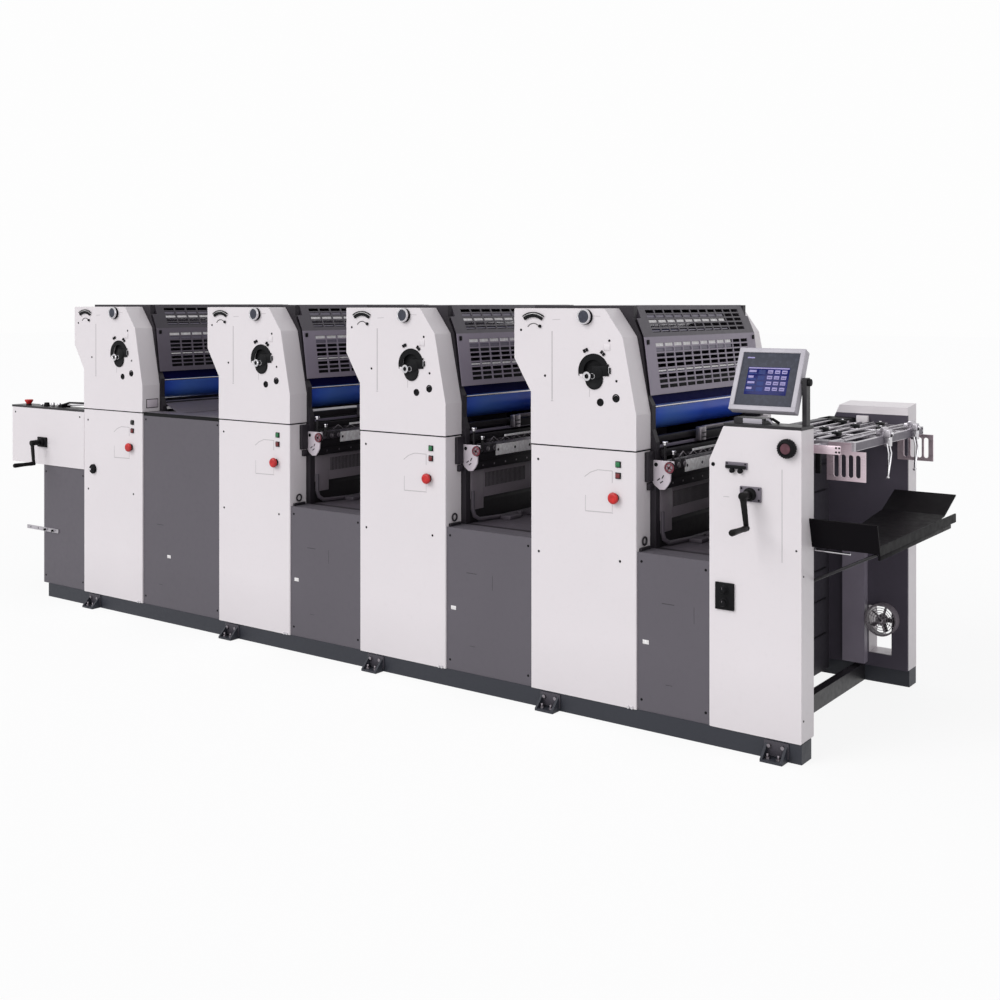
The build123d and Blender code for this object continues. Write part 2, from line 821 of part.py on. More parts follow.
def window(y_low, y_high):
    """The window through the drive-side column, below and behind the fan."""
    low = (base_right - window_setback, y_low, window_low)
    bar(low, (low[0] + window_width, y_high, window_low + window_height), Mode.SUBTRACT)


def hood_chamfer(y_low, y_high):
    """The cut across the drive-side column's top corner, in line with the other column's chamfer."""
    foot = column_top - column_chamfer_rise
    run = column_chamfer_run * (hood_top - foot) / column_chamfer_rise
    corner = [(column_left, foot), (column_left, hood_top), (column_left + run, hood_top)]
    plate_xz(corner, y_low, y_high, Mode.SUBTRACT)


with BuildPart() as delivery_column_far:
    end_outline = [
        (side_plate_back, base_height),
        (far_face, base_height),
        (far_face, hood_top),
        (far_inner, column_top + hood_inner_rise),
        (far_inner, side_plate_top),
        (side_plate_back, side_plate_top),
    ]
    plate_yz(end_outline, column_left, base_right)
    window(side_plate_back, far_face)
    hood_chamfer(far_inner, far_face)
delivery_column_far.part.label = "delivery_column_far"
export_step(delivery_column_far.part, "parts/delivery_column_far.step")

# Black plate on the inner face of the drive-side column
with BuildPart() as delivery_side_plate:
    bar((column_left, far_inner, base_height), (base_right, side_plate_back, side_plate_top))
    window(far_inner, side_plate_back)
    hood_chamfer(far_inner, side_plate_back)
delivery_side_plate.part.label = "delivery_side_plate"
export_step(delivery_side_plate.part, "parts/delivery_side_plate.step")

with BuildPart() as delivery_cap:
    low = (column_left + column_chamfer_run, near_face, column_top)
    bar(low, (base_right, near_inner, column_top + top_plate_sheet))
delivery_cap.part.label = "delivery_cap"
export_step(delivery_cap.part, "parts/delivery_cap.step")

# Panel and guide posts between the columns
panel_sheet = 12.0
panel_low = 34.0
panel_drop = 237.0
with BuildPart() as delivery_panel:
    bar((column_left, near_inner, panel_low), (column_left + panel_sheet, far_inner, column_top - panel_drop))
delivery_panel.part.label = "delivery_panel"
export_step(delivery_panel.part, "parts/delivery_panel.step")

post_setback = 287.0
post_width = 104.0
post_depth = 40.0
post_low = 90.0
post_drop = 547.0
with BuildPart() as pile_guide_posts:
    for y in (near_inner, far_inner - post_depth):
        low = (base_right - post_setback, y, post_low)
        bar(low, (low[0] + post_width, y + post_depth, column_top - post_drop))
pile_guide_posts.part.label = "pile_guide_posts"
export_step(pile_guide_posts.part, "parts/pile_guide_posts.step")

# Fan over the window of the far column
fan_setback = 108.0
fan_x = base_right - fan_setback
fan_z = 298.0
fan_radius = 72.0
fan_ring = 5.0
fan_depth = 46.0
fan_wire = 2.0
fan_spoke = 1.8
fan_spokes = 4
fan_spoke_turn = 45.0
fan_rotor_radius = 57.0
fan_hub_radius = 24.0
fan_blade_root = 21.0
fan_shaft_radius = 6.0
fan_boss_radius = 12.0
fan_blades = 5
fan_blade_sheet = 3.0
fan_blade_width = 24.0
fan_blade_pitch = 35.0
fan_rotor_gap = 8.0
fan_wire_shares = (0.4, 0.6, 0.8)


def ring(x, z, outer, inner, y_low, y_high):
    """A flat ring about an axis across the machine."""
    with BuildSketch(Plane.XZ.offset(-y_high)) as circles:
        with Locations((x, z)):
            Circle(outer)
            Circle(inner, mode=Mode.SUBTRACT)
    extrude(circles.sketch, amount=y_high - y_low)


with BuildPart() as fan_guard:
    front = far_inner - fan_depth
    wire_back = front + 2 * fan_wire
    ring(fan_x, fan_z, fan_radius, fan_radius - fan_ring, front, far_inner)
    for share in fan_wire_shares:
        middle = fan_radius * share
        ring(fan_x, fan_z, middle + fan_wire, middle - fan_wire, front, wire_back)
    for turn in range(fan_spokes):
        angle = radians(fan_spoke_turn + 360 / fan_spokes * turn)
        tip_reach = fan_radius - fan_ring / 2
        tip = (fan_x + tip_reach * cos(angle), front + fan_wire, fan_z + tip_reach * sin(angle))
        rod((fan_x, front + fan_wire, fan_z), tip, fan_spoke)
    cross_rod(fan_x, fan_z, fan_boss_radius, front, wire_back)
    cross_rod(fan_x, fan_z, fan_shaft_radius, front, far_inner - fan_rotor_gap)
fan_guard.part.label = "fan_guard"
export_step(fan_guard.part, "parts/fan_guard.step")

with BuildPart() as fan_rotor:
    front = far_inner - fan_depth + 2 * fan_wire + fan_rotor_gap
    back = far_inner - fan_rotor_gap
    middle = (front + back) / 2
    cross_rod(fan_x, fan_z, fan_hub_radius, front, back)
    for turn in range(fan_blades):
        angle = radians(360 / fan_blades * turn)
        outward = (cos(angle), 0, sin(angle))
        root = (fan_x + fan_blade_root * outward[0], middle, fan_z + fan_blade_root * outward[2])
        with BuildSketch(Plane(origin=root, x_dir=(0, 1, 0), z_dir=outward)) as blade:
            Rectangle(fan_blade_width, fan_blade_sheet, rotation=fan_blade_pitch)
        extrude(blade.sketch, amount=fan_rotor_radius - fan_blade_root)
    cross_rod(fan_x, fan_z, fan_shaft_radius + journal_fit, front, back, Mode.SUBTRACT)
fan_rotor.part.label = "fan_rotor"
export_step(fan_rotor.part, "parts/fan_rotor.step")

# Rails, slotted plates and sheet fingers over the delivery pile
side_rail_inset = 133.0
rail_near_y = near_inner + side_rail_inset
rail_far_y = far_inner - side_rail_inset
side_rail_sheet = 12.0
side_rail_drop = 94.0
side_rail_height = 34.0
side_rail_start = 60.0
front_bar_reach = 95.0
front_bar_size = 14.0
side_rail_overlap = 1.0
first_tie_rod_place = 102.0
last_tie_rod_setback = 27.0
tie_rod_radius = 9.0
side_rail_low = column_top - side_rail_drop
side_rail_high = side_rail_low + side_rail_height
front_bar_x = base_right + front_bar_reach
side_rail_end = front_bar_x + front_bar_size - side_rail_overlap

with BuildPart() as delivery_rails:
    for y in (rail_near_y, rail_far_y):
        low = (column_left + side_rail_start, y, side_rail_low)
        bar(low, (side_rail_end, y + side_rail_sheet, side_rail_high))
    middle = (side_rail_low + side_rail_high) / 2
    for x in (column_left + first_tie_rod_place, base_right - last_tie_rod_setback):
        cross_rod(x, middle, tie_rod_radius, near_inner, far_inner)
    low = (front_bar_x, rail_near_y, side_rail_low)
    bar(low, (low[0] + front_bar_size, rail_far_y + side_rail_sheet, side_rail_high))
delivery_rails.part.label = "delivery_rails"
export_step(delivery_rails.part, "parts/delivery_rails.step")

slotted_setback = 2.0
slotted_width = 155.0
slotted_height = 115.0
slotted_sheet = 6.0
slot_opening = 20.0
slot_length = 88.0
slot_step = 29.0
slot_shift = 4.0
slot_count = 4


def slotted_plate(y):
    """A hanging plate with four upright slots."""
    low = (base_right - slotted_setback, y, side_rail_low - slotted_height)
    bar(low, (low[0] + slotted_width, y + slotted_sheet, side_rail_low))
    centre = (low[0] + slotted_width / 2 + slot_shift, side_rail_low - slotted_height / 2)
    with BuildSketch(Plane.XZ.offset(-y - slotted_sheet)) as slots:
        with Locations(centre):
            with GridLocations(slot_step, 1, slot_count, 1):
                SlotOverall(slot_length, slot_opening, rotation=90)
    extrude(slots.sketch, amount=slotted_sheet, mode=Mode.SUBTRACT)


with BuildPart() as slotted_plate_near:
    slotted_plate(rail_near_y)
slotted_plate_near.part.label = "slotted_plate_near"
export_step(slotted_plate_near.part, "parts/slotted_plate_near.step")

with BuildPart() as slotted_plate_far:
    slotted_plate(rail_far_y + side_rail_sheet - slotted_sheet)
slotted_plate_far.part.label = "slotted_plate_far"
export_step(slotted_plate_far.part, "parts/slotted_plate_far.step")

finger_places = [-70.0, 260.0]
finger_block = 28.0
finger_block_rise = 8.0
finger_radius = 4.0
finger_length = 136.0
finger_spread = 9.0
with BuildPart() as sheet_fingers:
    for y in finger_places:
        x = front_bar_x + front_bar_size
        half = finger_block / 2
        low = (x, y - half, side_rail_low - finger_block_rise)
        bar(low, (x + finger_block, y + half, side_rail_high + finger_block_rise))
        foot = (x + half, y, side_rail_low - finger_length)
        for offset in (-finger_spread, finger_spread):
            rod((x + half, y + offset, side_rail_low), foot, finger_radius)
sheet_fingers.part.label = "sheet_fingers"
export_step(sheet_fingers.part, "parts/sheet_fingers.step")

# Tray outside the columns
tray_drop = 447.0
tray_lip = 30.0
tray_edge_inset = 70.0
tray_floor_inset = 100.0
tray_wall_rise = 110.0
tray_floor_end = -130.0
tray_slope_setback = 440.0
tray_slope_rise = 38.0
tray_flap_setback = 285.0
tray_flap_rise = 105.0
tray_height = column_top - tray_drop
tray_path = [
    (near_face + tray_edge_inset, tray_height + tray_wall_rise),
    (near_face + tray_floor_inset, tray_height),
    (tray_floor_end, tray_height),
    (far_face - tray_slope_setback, tray_height + tray_slope_rise),
    (far_face - tray_flap_setback, tray_height + tray_flap_rise),
]
tray_right = base_right + tray_reach
with BuildPart() as delivery_tray:
    plate_yz(bent_sheet(tray_path, tray_sheet), base_right, tray_right)
    lip_low = (tray_right - tray_sheet, tray_path[1][0], tray_height - tray_sheet)
    bar(lip_low, (tray_right, tray_path[-1][0], tray_height + tray_lip))
delivery_tray.part.label = "delivery_tray"
export_step(delivery_tray.part, "parts/delivery_tray.step")

strut_radius = 6.0
strut_foot_drop = 145.0
strut_foot_setback = 30.0
strut_tip_setback = 20.0
near_strut_y = near_inner + strut_radius
far_strut_setback = 315.0
far_strut_drop = 8.0
slope_run = tray_path[-1][0] - tray_path[-2][0]
slope_rise = tray_path[-1][1] - tray_path[-2][1]
far_strut_y = far_face - far_strut_setback
far_strut_share = (far_strut_y - tray_path[-2][0]) / slope_run
far_strut_z = tray_path[-2][1] + far_strut_share * slope_rise - far_strut_drop
with BuildPart() as tray_struts:
    foot_x = base_right - strut_foot_setback
    tip_x = tray_right - strut_tip_setback
    foot_z = tray_height - strut_foot_drop
    near_tip = (tip_x, near_strut_y, tray_height - strut_radius)
    rod((foot_x, near_strut_y, foot_z), near_tip, strut_radius)
    far_foot = (foot_x, far_inner - strut_radius, foot_z)
    rod(far_foot, (tip_x, far_strut_y, far_strut_z), strut_radius)
tray_struts.part.label = "tray_struts"
export_step(tray_struts.part, "parts/tray_struts.step")

# Touch screen on its stand
screen_middle_setback = 165.5
screen_width = 273.0
screen_height = 258.0
screen_depth = 42.0
screen_tilt = 25.0
screen_centre_y = 78.0
screen_rise = 164.0
screen_corner_radius = 6.0
screen_pin_radius = 8.0
screen_pin_depth = 20.0
screen_pin_gap = 1.0
stand_width = 18.0
stand_depth = 34.0
stand_gap = 6.0
screen_foot_start = 90.0
screen_foot_end = 215.0
screen_foot_front = 30.0
screen_foot_back = 100.0
screen_foot_height = 22.0

screen_middle = base_right - screen_middle_setback
screen_right = screen_middle + screen_width / 2
screen_y = near_face + screen_centre_y
cap_surface = column_top + top_plate_sheet
screen_centre_z = cap_surface + screen_rise
with BuildPart() as touch_screen:
    tilt = radians(screen_tilt)
    centre = (screen_middle, screen_y, screen_centre_z)
    front = Plane(origin=centre, x_dir=(1, 0, 0), z_dir=(0, -cos(tilt), sin(tilt)))
    with BuildSketch(front.offset(-screen_depth / 2)) as case:
        RectangleRounded(screen_width, screen_height, screen_corner_radius)
    extrude(case.sketch, amount=screen_depth)
    bore_start = (screen_right - screen_pin_depth, screen_y, screen_centre_z)
    bore_end = (screen_right, screen_y, screen_centre_z)
    rod(bore_start, bore_end, screen_pin_radius + journal_fit, Mode.SUBTRACT)
touch_screen.part.label = "touch_screen"
export_step(touch_screen.part, "parts/touch_screen.step")

with BuildPart() as screen_stand:
    x = screen_right + stand_gap
    low = (x, screen_y - stand_depth / 2, cap_surface)
    bar(low, (x + stand_width, screen_y + stand_depth / 2, screen_centre_z + stand_depth / 2))
    pin_start = (screen_right - screen_pin_depth + screen_pin_gap, screen_y, screen_centre_z)
    rod(pin_start, (x + stand_width / 2, screen_y, screen_centre_z), screen_pin_radius)
    low = (column_left + screen_foot_start, near_face + screen_foot_front, cap_surface)
    top = cap_surface + screen_foot_height
    high = (column_left + screen_foot_end, near_face + screen_foot_back, top)
    bar(low, high)
screen_stand.part.label = "screen_stand"
export_step(screen_stand.part, "parts/screen_stand.step")

# Knob of the delivery column
column_knob_setback = 53.0
column_knob_drop = 69.0
column_knob_radius = 37.0
column_knob_depth = 30.0
column_pin_radius = 8.0
column_pin_reach = 20.0
knob_gap = 0.5
column_knob_x = base_right - column_knob_setback
column_knob_z = column_top - column_knob_drop
with BuildPart() as column_knob:
    back = near_face - knob_gap
    cross_rod(column_knob_x, column_knob_z, column_knob_radius, back - column_knob_depth, back)
    pin_bore = column_pin_radius + journal_fit
    cross_rod(column_knob_x, column_knob_z, pin_bore, back - column_pin_reach, back, Mode.SUBTRACT)
column_knob.part.label = "column_knob"
export_step(column_knob.part, "parts/column_knob.step")

# Handle and switch plate of the delivery column
handle_left = 70.0
handle_right = 162.0
handle_drop = 162.0
handle_height = 27.0
handle_depth = 18.0
switch_left = 28.0
switch_right = 107.0
switch_low = 538.0
switch_high = 643.0
switch_sheet = 10.0
switch_knob_x = 67.0
switch_knob_places = [567.0, 617.0]
switch_knob_radius = 16.0
switch_knob_reach = 20.0


def column_fittings():
    """Pin of the column's knob, its handle and its switch plate."""
    pin_front = near_face - column_pin_reach
    cross_rod(column_knob_x, column_knob_z, column_pin_radius, pin_front, near_face)
    low = (column_left + handle_left, near_face - handle_depth, column_top - handle_drop)
    bar(low, (column_left + handle_right, near_face, low[2] + handle_height))
    plate_front = near_face - switch_sheet
    low = (column_left + switch_left, plate_front, switch_low)
    bar(low, (column_left + switch_right, near_face, switch_high))
    for z in switch_knob_places:
        knob_front = plate_front - switch_knob_reach
        cross_rod(column_left + switch_knob_x, z, switch_knob_radius, knob_front, plate_front)


# Fixed fittings of the operating side
with BuildPart() as operator_controls:
    for left in unit_lefts:
        unit_fittings(left)
    crank_plate(feeder_crank_x, feeder_crank_z)
    crank_plate(delivery_crank_x, delivery_crank_z)
    column_fittings()
operator_controls.part.label = "operator_controls"
export_step(operator_controls.part, "parts/operator_controls.step")
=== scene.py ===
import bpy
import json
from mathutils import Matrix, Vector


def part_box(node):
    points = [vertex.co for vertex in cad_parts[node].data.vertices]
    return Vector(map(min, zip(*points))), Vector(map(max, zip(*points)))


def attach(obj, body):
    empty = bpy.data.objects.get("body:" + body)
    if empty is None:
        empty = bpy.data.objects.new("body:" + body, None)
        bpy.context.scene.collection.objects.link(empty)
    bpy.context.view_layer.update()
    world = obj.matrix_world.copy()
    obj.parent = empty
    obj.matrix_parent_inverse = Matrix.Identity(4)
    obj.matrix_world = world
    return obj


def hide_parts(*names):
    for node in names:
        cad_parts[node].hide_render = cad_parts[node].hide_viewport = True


bl_info = {
    "name": "Four-unit offset press",
    "version": (1, 0, 0),
    "blender": (4, 5, 0),
    "location": "View3D > Sidebar > Press",
    "description": "Paints and details a four-unit sheet-fed offset printing press",
    "category": "Object",
}

import json
import math

import bmesh
import bpy
from bpy.props import FloatProperty, FloatVectorProperty, IntProperty, PointerProperty
from mathutils import Matrix, Vector

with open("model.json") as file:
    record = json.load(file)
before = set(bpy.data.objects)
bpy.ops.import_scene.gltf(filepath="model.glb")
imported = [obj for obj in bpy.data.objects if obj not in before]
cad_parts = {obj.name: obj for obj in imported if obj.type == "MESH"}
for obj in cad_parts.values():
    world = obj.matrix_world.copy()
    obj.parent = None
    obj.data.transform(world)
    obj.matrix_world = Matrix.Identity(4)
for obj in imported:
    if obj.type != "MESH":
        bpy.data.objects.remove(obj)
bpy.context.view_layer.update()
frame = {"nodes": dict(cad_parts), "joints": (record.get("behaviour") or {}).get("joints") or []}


def paint(red, green, blue):
    """A colour given as 0 to 255 on a screen, made linear for the shaders."""
    shades = [value / 255 for value in (red, green, blue)]
    return tuple(c / 12.92 if c <= 0.04045 else ((c + 0.055) / 1.055) ** 2.4 for c in shades)


HOUSING_WIDTH = 0.519
SEAM_DROP = 0.579


class Unit:
    """A printing unit's number and its two edges along the machine, in metres."""

    def __init__(self, number):
        self.number = number
        self.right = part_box(f"unit_{number}_housing_near")[1].x
        self.left = self.right - HOUSING_WIDTH


UNITS = [Unit(number) for number in range(1, 5)]
HOUSING_LOW, HOUSING_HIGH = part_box("unit_1_housing_near")
FACE, INNER, TOP = HOUSING_LOW.y, HOUSING_HIGH.y, HOUSING_HIGH.z
SEAM = TOP - SEAM_DROP
FRAME_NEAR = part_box("bay_decks")[0].y
FRAME_FAR = -FRAME_NEAR
COVER_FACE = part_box("lower_covers_near")[0].y
COVER_TOP = 0.714
PLATE_FACE = FRAME_NEAR - 0.038
BASE_FACE = 0.646
GUARD_FOLD_LOW, GUARD_FOLD_HIGH = 1.579, 1.583
NIP_HEIGHT = 1.292
COLUMN_LOW, COLUMN_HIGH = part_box("delivery_column_near")
FEEDER_LOW, FEEDER_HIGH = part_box("feeder_housing_near")
CONTROLS = ("operator_controls",)
JOINTS = {joint["child"]: joint for joint in frame["joints"]}
OUT, UP, ALONG = Vector((0, -1, 0)), Vector((0, 0, 1)), Vector((1, 0, 0))


# Colours and lamp levels that a user would change


SHADE = {"subtype": "COLOR", "size": 3, "min": 0, "max": 1}


class PressFinishSettings(bpy.types.PropertyGroup):
    """Colours of the press's finishes."""

    housing: FloatVectorProperty(
        name="Housings", description="White paint of the housings and columns",
        default=paint(229, 223, 226), **SHADE)
    cover: FloatVectorProperty(
        name="Covers", description="Grey paint of the lower covers",
        default=paint(96, 92, 99), **SHADE)
    base: FloatVectorProperty(
        name="Base", description="Blue-grey paint of the base beams",
        default=paint(48, 50, 58), **SHADE)
    guard: FloatVectorProperty(
        name="Guards", description="Grey-mauve paint of the slotted guards",
        default=paint(147, 138, 153), **SHADE)
    blanket: FloatVectorProperty(
        name="Blankets", description="Blue of the blanket cylinders",
        default=paint(50, 92, 218), **SHADE)
    stop: FloatVectorProperty(
        name="Stop buttons", description="Red of the stop buttons",
        default=paint(176, 24, 24), **SHADE)


class PressSizeSettings(bpy.types.PropertyGroup):
    """Sizes of the small fittings."""

    screw_radius: FloatProperty(
        name="Screw radius", description="Radius of the panel screws",
        subtype="DISTANCE", unit="LENGTH", default=0.0055, min=0.002, max=0.02)
    line_width: FloatProperty(
        name="Line width", description="Width of the fine lines scribed on the housings",
        subtype="DISTANCE", unit="LENGTH", default=0.0022, min=0.0005, max=0.01)
    knurls: IntProperty(
        name="Knurls", description="Grip ridges around the column's knob", default=24, min=8, max=60)


class PressStageSettings(bpy.types.PropertyGroup):
    """Lamps, floor and camera."""

    sun_strength: FloatProperty(
        name="Sun strength", description="Strength of the large soft lamp", default=1.55, min=0, max=10)
    fill_strength: FloatProperty(
        name="Fill strength", description="Strength of the lamp at the delivery end", default=0.36, min=0, max=10)
    bay_strength: FloatProperty(
        name="Bay strength", description="Strength of the low lamp that lights the bays", default=0.4, min=0, max=10)
    world_strength: FloatProperty(
        name="World strength", description="Strength of the light from all around", default=0.5, min=0, max=5)
    lens: FloatProperty(
        name="Lens", description="Focal length of the camera in millimetres", default=46.22, min=10, max=200)


# Finishes


FINISHES = {}


def join(tree, output, target):
    """Links one socket to another."""
    tree.links.new(output, target)


def add_node(tree, kind, **values):
    """A node of the given kind with constants on some of its sockets; _ stands for a space in a name."""
    node = tree.nodes.new(kind)
    for socket, value in values.items():
        node.inputs[socket.replace("_", " ")].default_value = value
    return node


def shaded(colour, share):
    """The same colour, darker or lighter."""
    return tuple(min(1.0, c * share) for c in colour)


class Finish:
    """A material in the making: its shader, and patterns on the object's own coordinates."""

    def __init__(self, name, roughness, metallic=0.0, level=0.5):
        material = FINISHES[name] = bpy.data.materials.new(name)
        material.use_nodes = True
        self.tree = material.node_tree
        self.shader = self.tree.nodes["Principled BSDF"].inputs
        self.shader["Roughness"].default_value = roughness
        self.shader["Metallic"].default_value = metallic
        self.shader["Specular IOR Level"].default_value = level
        self.coords = self.tree.nodes.new("ShaderNodeTexCoord").outputs["Object"]

    def noise(self, scale, detail=3.0, stretch=(1, 1, 1)):
        """A noise pattern."""
        mapping = add_node(self.tree, "ShaderNodeMapping", Scale=stretch)
        texture = add_node(self.tree, "ShaderNodeTexNoise", Scale=scale, Detail=detail)
        join(self.tree, self.coords, mapping.inputs["Vector"])
        join(self.tree, mapping.outputs["Vector"], texture.inputs["Vector"])
        return texture.outputs["Fac"]

    def spread(self, value, low=0.3, high=0.7, to_low=0, to_high=1):
        """Maps part of a pattern's range to another range."""
        node = add_node(self.tree, "ShaderNodeMapRange", From_Min=low, From_Max=high, To_Min=to_low, To_Max=to_high)
        join(self.tree, value, node.inputs["Value"])
        return node.outputs["Result"]

    def ramp(self, axis, low, high, to_low=0, to_high=1):
        """A ramp along one of the object's own axes."""
        split = self.tree.nodes.new("ShaderNodeSeparateXYZ")
        join(self.tree, self.coords, split.inputs["Vector"])
        return self.spread(split.outputs[axis], low, high, to_low, to_high)

    def blend(self, factor, first, second):
        """Mixes two colours, or a colour with a pattern's output, by a pattern."""
        node = self.tree.nodes.new("ShaderNodeMix")
        node.data_type = "RGBA"
        join(self.tree, factor, node.inputs["Factor"])
        for socket, colour in (("A", first), ("B", second)):
            target = [s for s in node.inputs if s.identifier == f"{socket}_Color"][0]
            if isinstance(colour, bpy.types.NodeSocket):
                join(self.tree, colour, target)
            else:
                target.default_value = (*colour, 1)
        return [s for s in node.outputs if s.identifier == "Result_Color"][0]

    def drive_socket(self, socket, output):
        """Drives one of the shader's sockets by a pattern."""
        join(self.tree, output, self.shader[socket])

    def raise_bumps(self, height, strength, distance):
        """Small relief from a pattern."""
        bump = add_node(self.tree, "ShaderNodeBump", Strength=strength, Distance=distance)
        join(self.tree, height, bump.inputs["Height"])
        self.drive_socket("Normal", bump.outputs["Normal"])


def sprayed_paint(name, colour, roughness=0.4, level=0.5, change=0.94, peel=0.12, coat=0.0, darker_near_floor=0.0,
                  painted_shade_above_fold=1.0):
    """Sheet-metal paint with orange peel; darker near the floor, and a painted shade above the guard's fold."""
    finish = Finish(name, roughness, 0.0, level)
    clouds, mottle = finish.noise(2.3, 4.0), finish.noise(37.0)
    mottle_and_painted_shade = finish.blend(finish.spread(clouds), shaded(colour, change), colour)
    mottle_and_painted_shade = finish.blend(finish.spread(mottle, 0.56, 0.76, 0, 0.35), mottle_and_painted_shade, shaded(colour, change * 0.96))
    # Darker towards the bottom, near the floor
    if darker_near_floor:
        mottle_and_painted_shade = finish.blend(finish.ramp("Z", 0.07, 0.34, darker_near_floor, 0), mottle_and_painted_shade, shaded(colour, 0.78))
    # Painted shade: a darker share of the colour above the guard's fold
    if painted_shade_above_fold != 1.0:
        mottle_and_painted_shade = finish.blend(finish.ramp("Z", GUARD_FOLD_LOW, GUARD_FOLD_HIGH), mottle_and_painted_shade, shaded(colour, painted_shade_above_fold))
    finish.drive_socket("Base Color", mottle_and_painted_shade)
    finish.drive_socket("Roughness", finish.spread(mottle, to_low=roughness - 0.05, to_high=roughness + 0.06))
    finish.raise_bumps(finish.noise(520.0, 2.0), peel, 0.0006)
    finish.shader["Coat Weight"].default_value = coat
    finish.shader["Coat Roughness"].default_value = 0.25


def drawn_metal(name, colour, roughness=0.28, stretch=(1, 1, 1), change=0.8, scratch=0.1):
    """Machined or drawn metal with fine lines along it."""
    finish = Finish(name, roughness, 1.0)
    lines = finish.noise(260.0, stretch=stretch)
    base = finish.blend(finish.spread(finish.noise(9.0)), shaded(colour, change), colour)
    base = finish.blend(finish.spread(lines, 0.4, 0.6, 0, 0.3), base, shaded(colour, change * 0.9))
    finish.drive_socket("Base Color", base)
    finish.drive_socket("Roughness", finish.spread(lines, to_low=roughness * 0.75, to_high=roughness * 1.4))
    finish.raise_bumps(lines, scratch, 0.0003)


def moulded_plastic(name, colour, roughness=0.45, level=0.4, grain=0.2):
    """Moulded plastic or rubber with a fine leathery grain."""
    finish = Finish(name, roughness, 0.0, level)
    cells = add_node(finish.tree, "ShaderNodeTexVoronoi", Scale=900.0)
    join(finish.tree, finish.coords, cells.inputs["Vector"])
    rubbed = finish.noise(60.0, 4.0)
    finish.drive_socket("Base Color", finish.blend(finish.spread(rubbed, 0.45, 0.75), colour, shaded(colour, 1.5)))
    finish.drive_socket("Roughness", finish.spread(rubbed, to_low=roughness - 0.06, to_high=roughness + 0.08))
    finish.raise_bumps(cells.outputs["Distance"], grain, 0.0003)


def cast_frame(name, colour, roughness=0.6):
    """Painted casting: coarse, a little pitted, oily in places."""
    finish = Finish(name, roughness, 0.0, 0.3)
    oil = finish.noise(6.0, 4.0)
    finish.drive_socket("Base Color", finish.blend(finish.spread(oil, 0.4), colour, shaded(colour, 0.55)))
    finish.drive_socket("Roughness", finish.spread(oil, 0.4, 0.7, roughness, roughness - 0.2))
    finish.raise_bumps(finish.noise(170.0, 5.0), 0.35, 0.0012)


def rubber_blanket(name, colour):
    """Blue rubber blanket: smooth, with faint bands around it, ink haze and a painted highlight, a lighter band near
    the operator's end.
    """
    finish = Finish(name, 0.34, 0.0, 0.3)
    bands, haze = finish.noise(2.0, stretch=(0.05, 2.5, 0.05)), finish.noise(11.0, 4.0)
    base = finish.blend(finish.spread(bands, 0.35, 0.65), shaded(colour, 0.86), colour)
    # Painted highlight: a lighter blue band across the near part of the cylinder, all the way round
    painted_highlight = finish.tree.nodes.new("ShaderNodeMath")
    painted_highlight.operation = "MULTIPLY"
    join(finish.tree, finish.ramp("Y", -0.47, -0.33, 0, 0.55), painted_highlight.inputs[0])
    join(finish.tree, finish.ramp("Y", -0.26, 0.02, 1, 0), painted_highlight.inputs[1])
    hazy = finish.blend(finish.spread(haze, 0.55, 0.85, 0, 0.2), base, shaded(colour, 1.2))
    finish.drive_socket("Base Color", finish.blend(painted_highlight.outputs["Value"], hazy, paint(92, 138, 214)))
    finish.drive_socket("Roughness", finish.spread(haze, to_low=0.3, to_high=0.38))
    finish.raise_bumps(finish.noise(700.0, 2.0), 0.04, 0.0003)


def lit_glass(name, colour, strength, change=0.7):
    """A lit display behind glass, brighter in places."""
    finish = Finish(name, 0.18, 0.0, 0.12)
    lit = finish.blend(finish.spread(finish.noise(14.0, 2.0)), shaded(colour, change), colour)
    finish.drive_socket("Base Color", lit)
    finish.drive_socket("Emission Color", lit)
    finish.shader["Emission Strength"].default_value = strength
    finish.raise_bumps(finish.noise(1200.0, 1.0), 0.02, 0.0001)


# Name, colour, roughness, gloss, share of the darker clouds, orange peel
PAINTS = (
    ("post_mauve", (146, 138, 152), 0.42, 0.4, 0.8, 0.15),
    ("deck_grey", (86, 80, 88), 0.5, 0.3, 0.75, 0.3),
    ("cap_black", (34, 32, 36), 0.4, 0.35, 0.75, 0.12),
    ("guide_black", (28, 25, 29), 0.5, 0.25, 0.75, 0.2),
    ("guide_grey", (132, 124, 131), 0.45, 0.3, 0.8, 0.2),
    ("panel_black", (70, 67, 74), 0.45, 0.25, 0.8, 0.15),
    ("side_plate_grey", (84, 79, 90), 0.45, 0.15, 0.8, 0.15),
    ("tray_black", (17, 15, 18), 0.42, 0.04, 0.85, 0.05),
    ("screen_silver", (184, 180, 188), 0.38, 0.4, 0.86, 0.05),
    ("strip_lilac", (112, 106, 122), 0.35, 0.5, 0.85, 0.1),
    ("plate_mauve", (106, 100, 110), 0.42, 0.4, 0.85, 0.15),
    ("bright_trim", (214, 204, 212), 0.4, 0.5, 0.9, 0.1),
    # Painted shade: the navy of the sheets over the cylinders
    ("nip_navy", (17, 18, 68), 0.5, 0.02, 0.8, 0.1),
    ("crank_black", (16, 15, 16), 0.4, 0.12, 0.8, 0.05),
)
# Name, colour, roughness, gloss, grain
PLASTICS = (
    ("control_black", (17, 17, 19), 0.5, 0.1),
    ("roller_rubber", (30, 28, 34), 0.4, 0.35, 0.05),
    ("key_green", (24, 104, 60), 0.35, 0.5, 0.05),
    ("key_red", (100, 26, 30), 0.35, 0.5, 0.05),
    ("tick_white", (225, 222, 222), 0.5, 0.3, 0.05),
    ("dial_rose", (116, 54, 66), 0.4, 0.4, 0.05),
    ("bezel_slate", (60, 62, 72), 0.5, 0.2, 0.1),
    ("knob_rose", (88, 56, 64), 0.45, 0.25, 0.05),
    ("key_black", (20, 22, 20), 0.35, 0.5, 0.05),
)
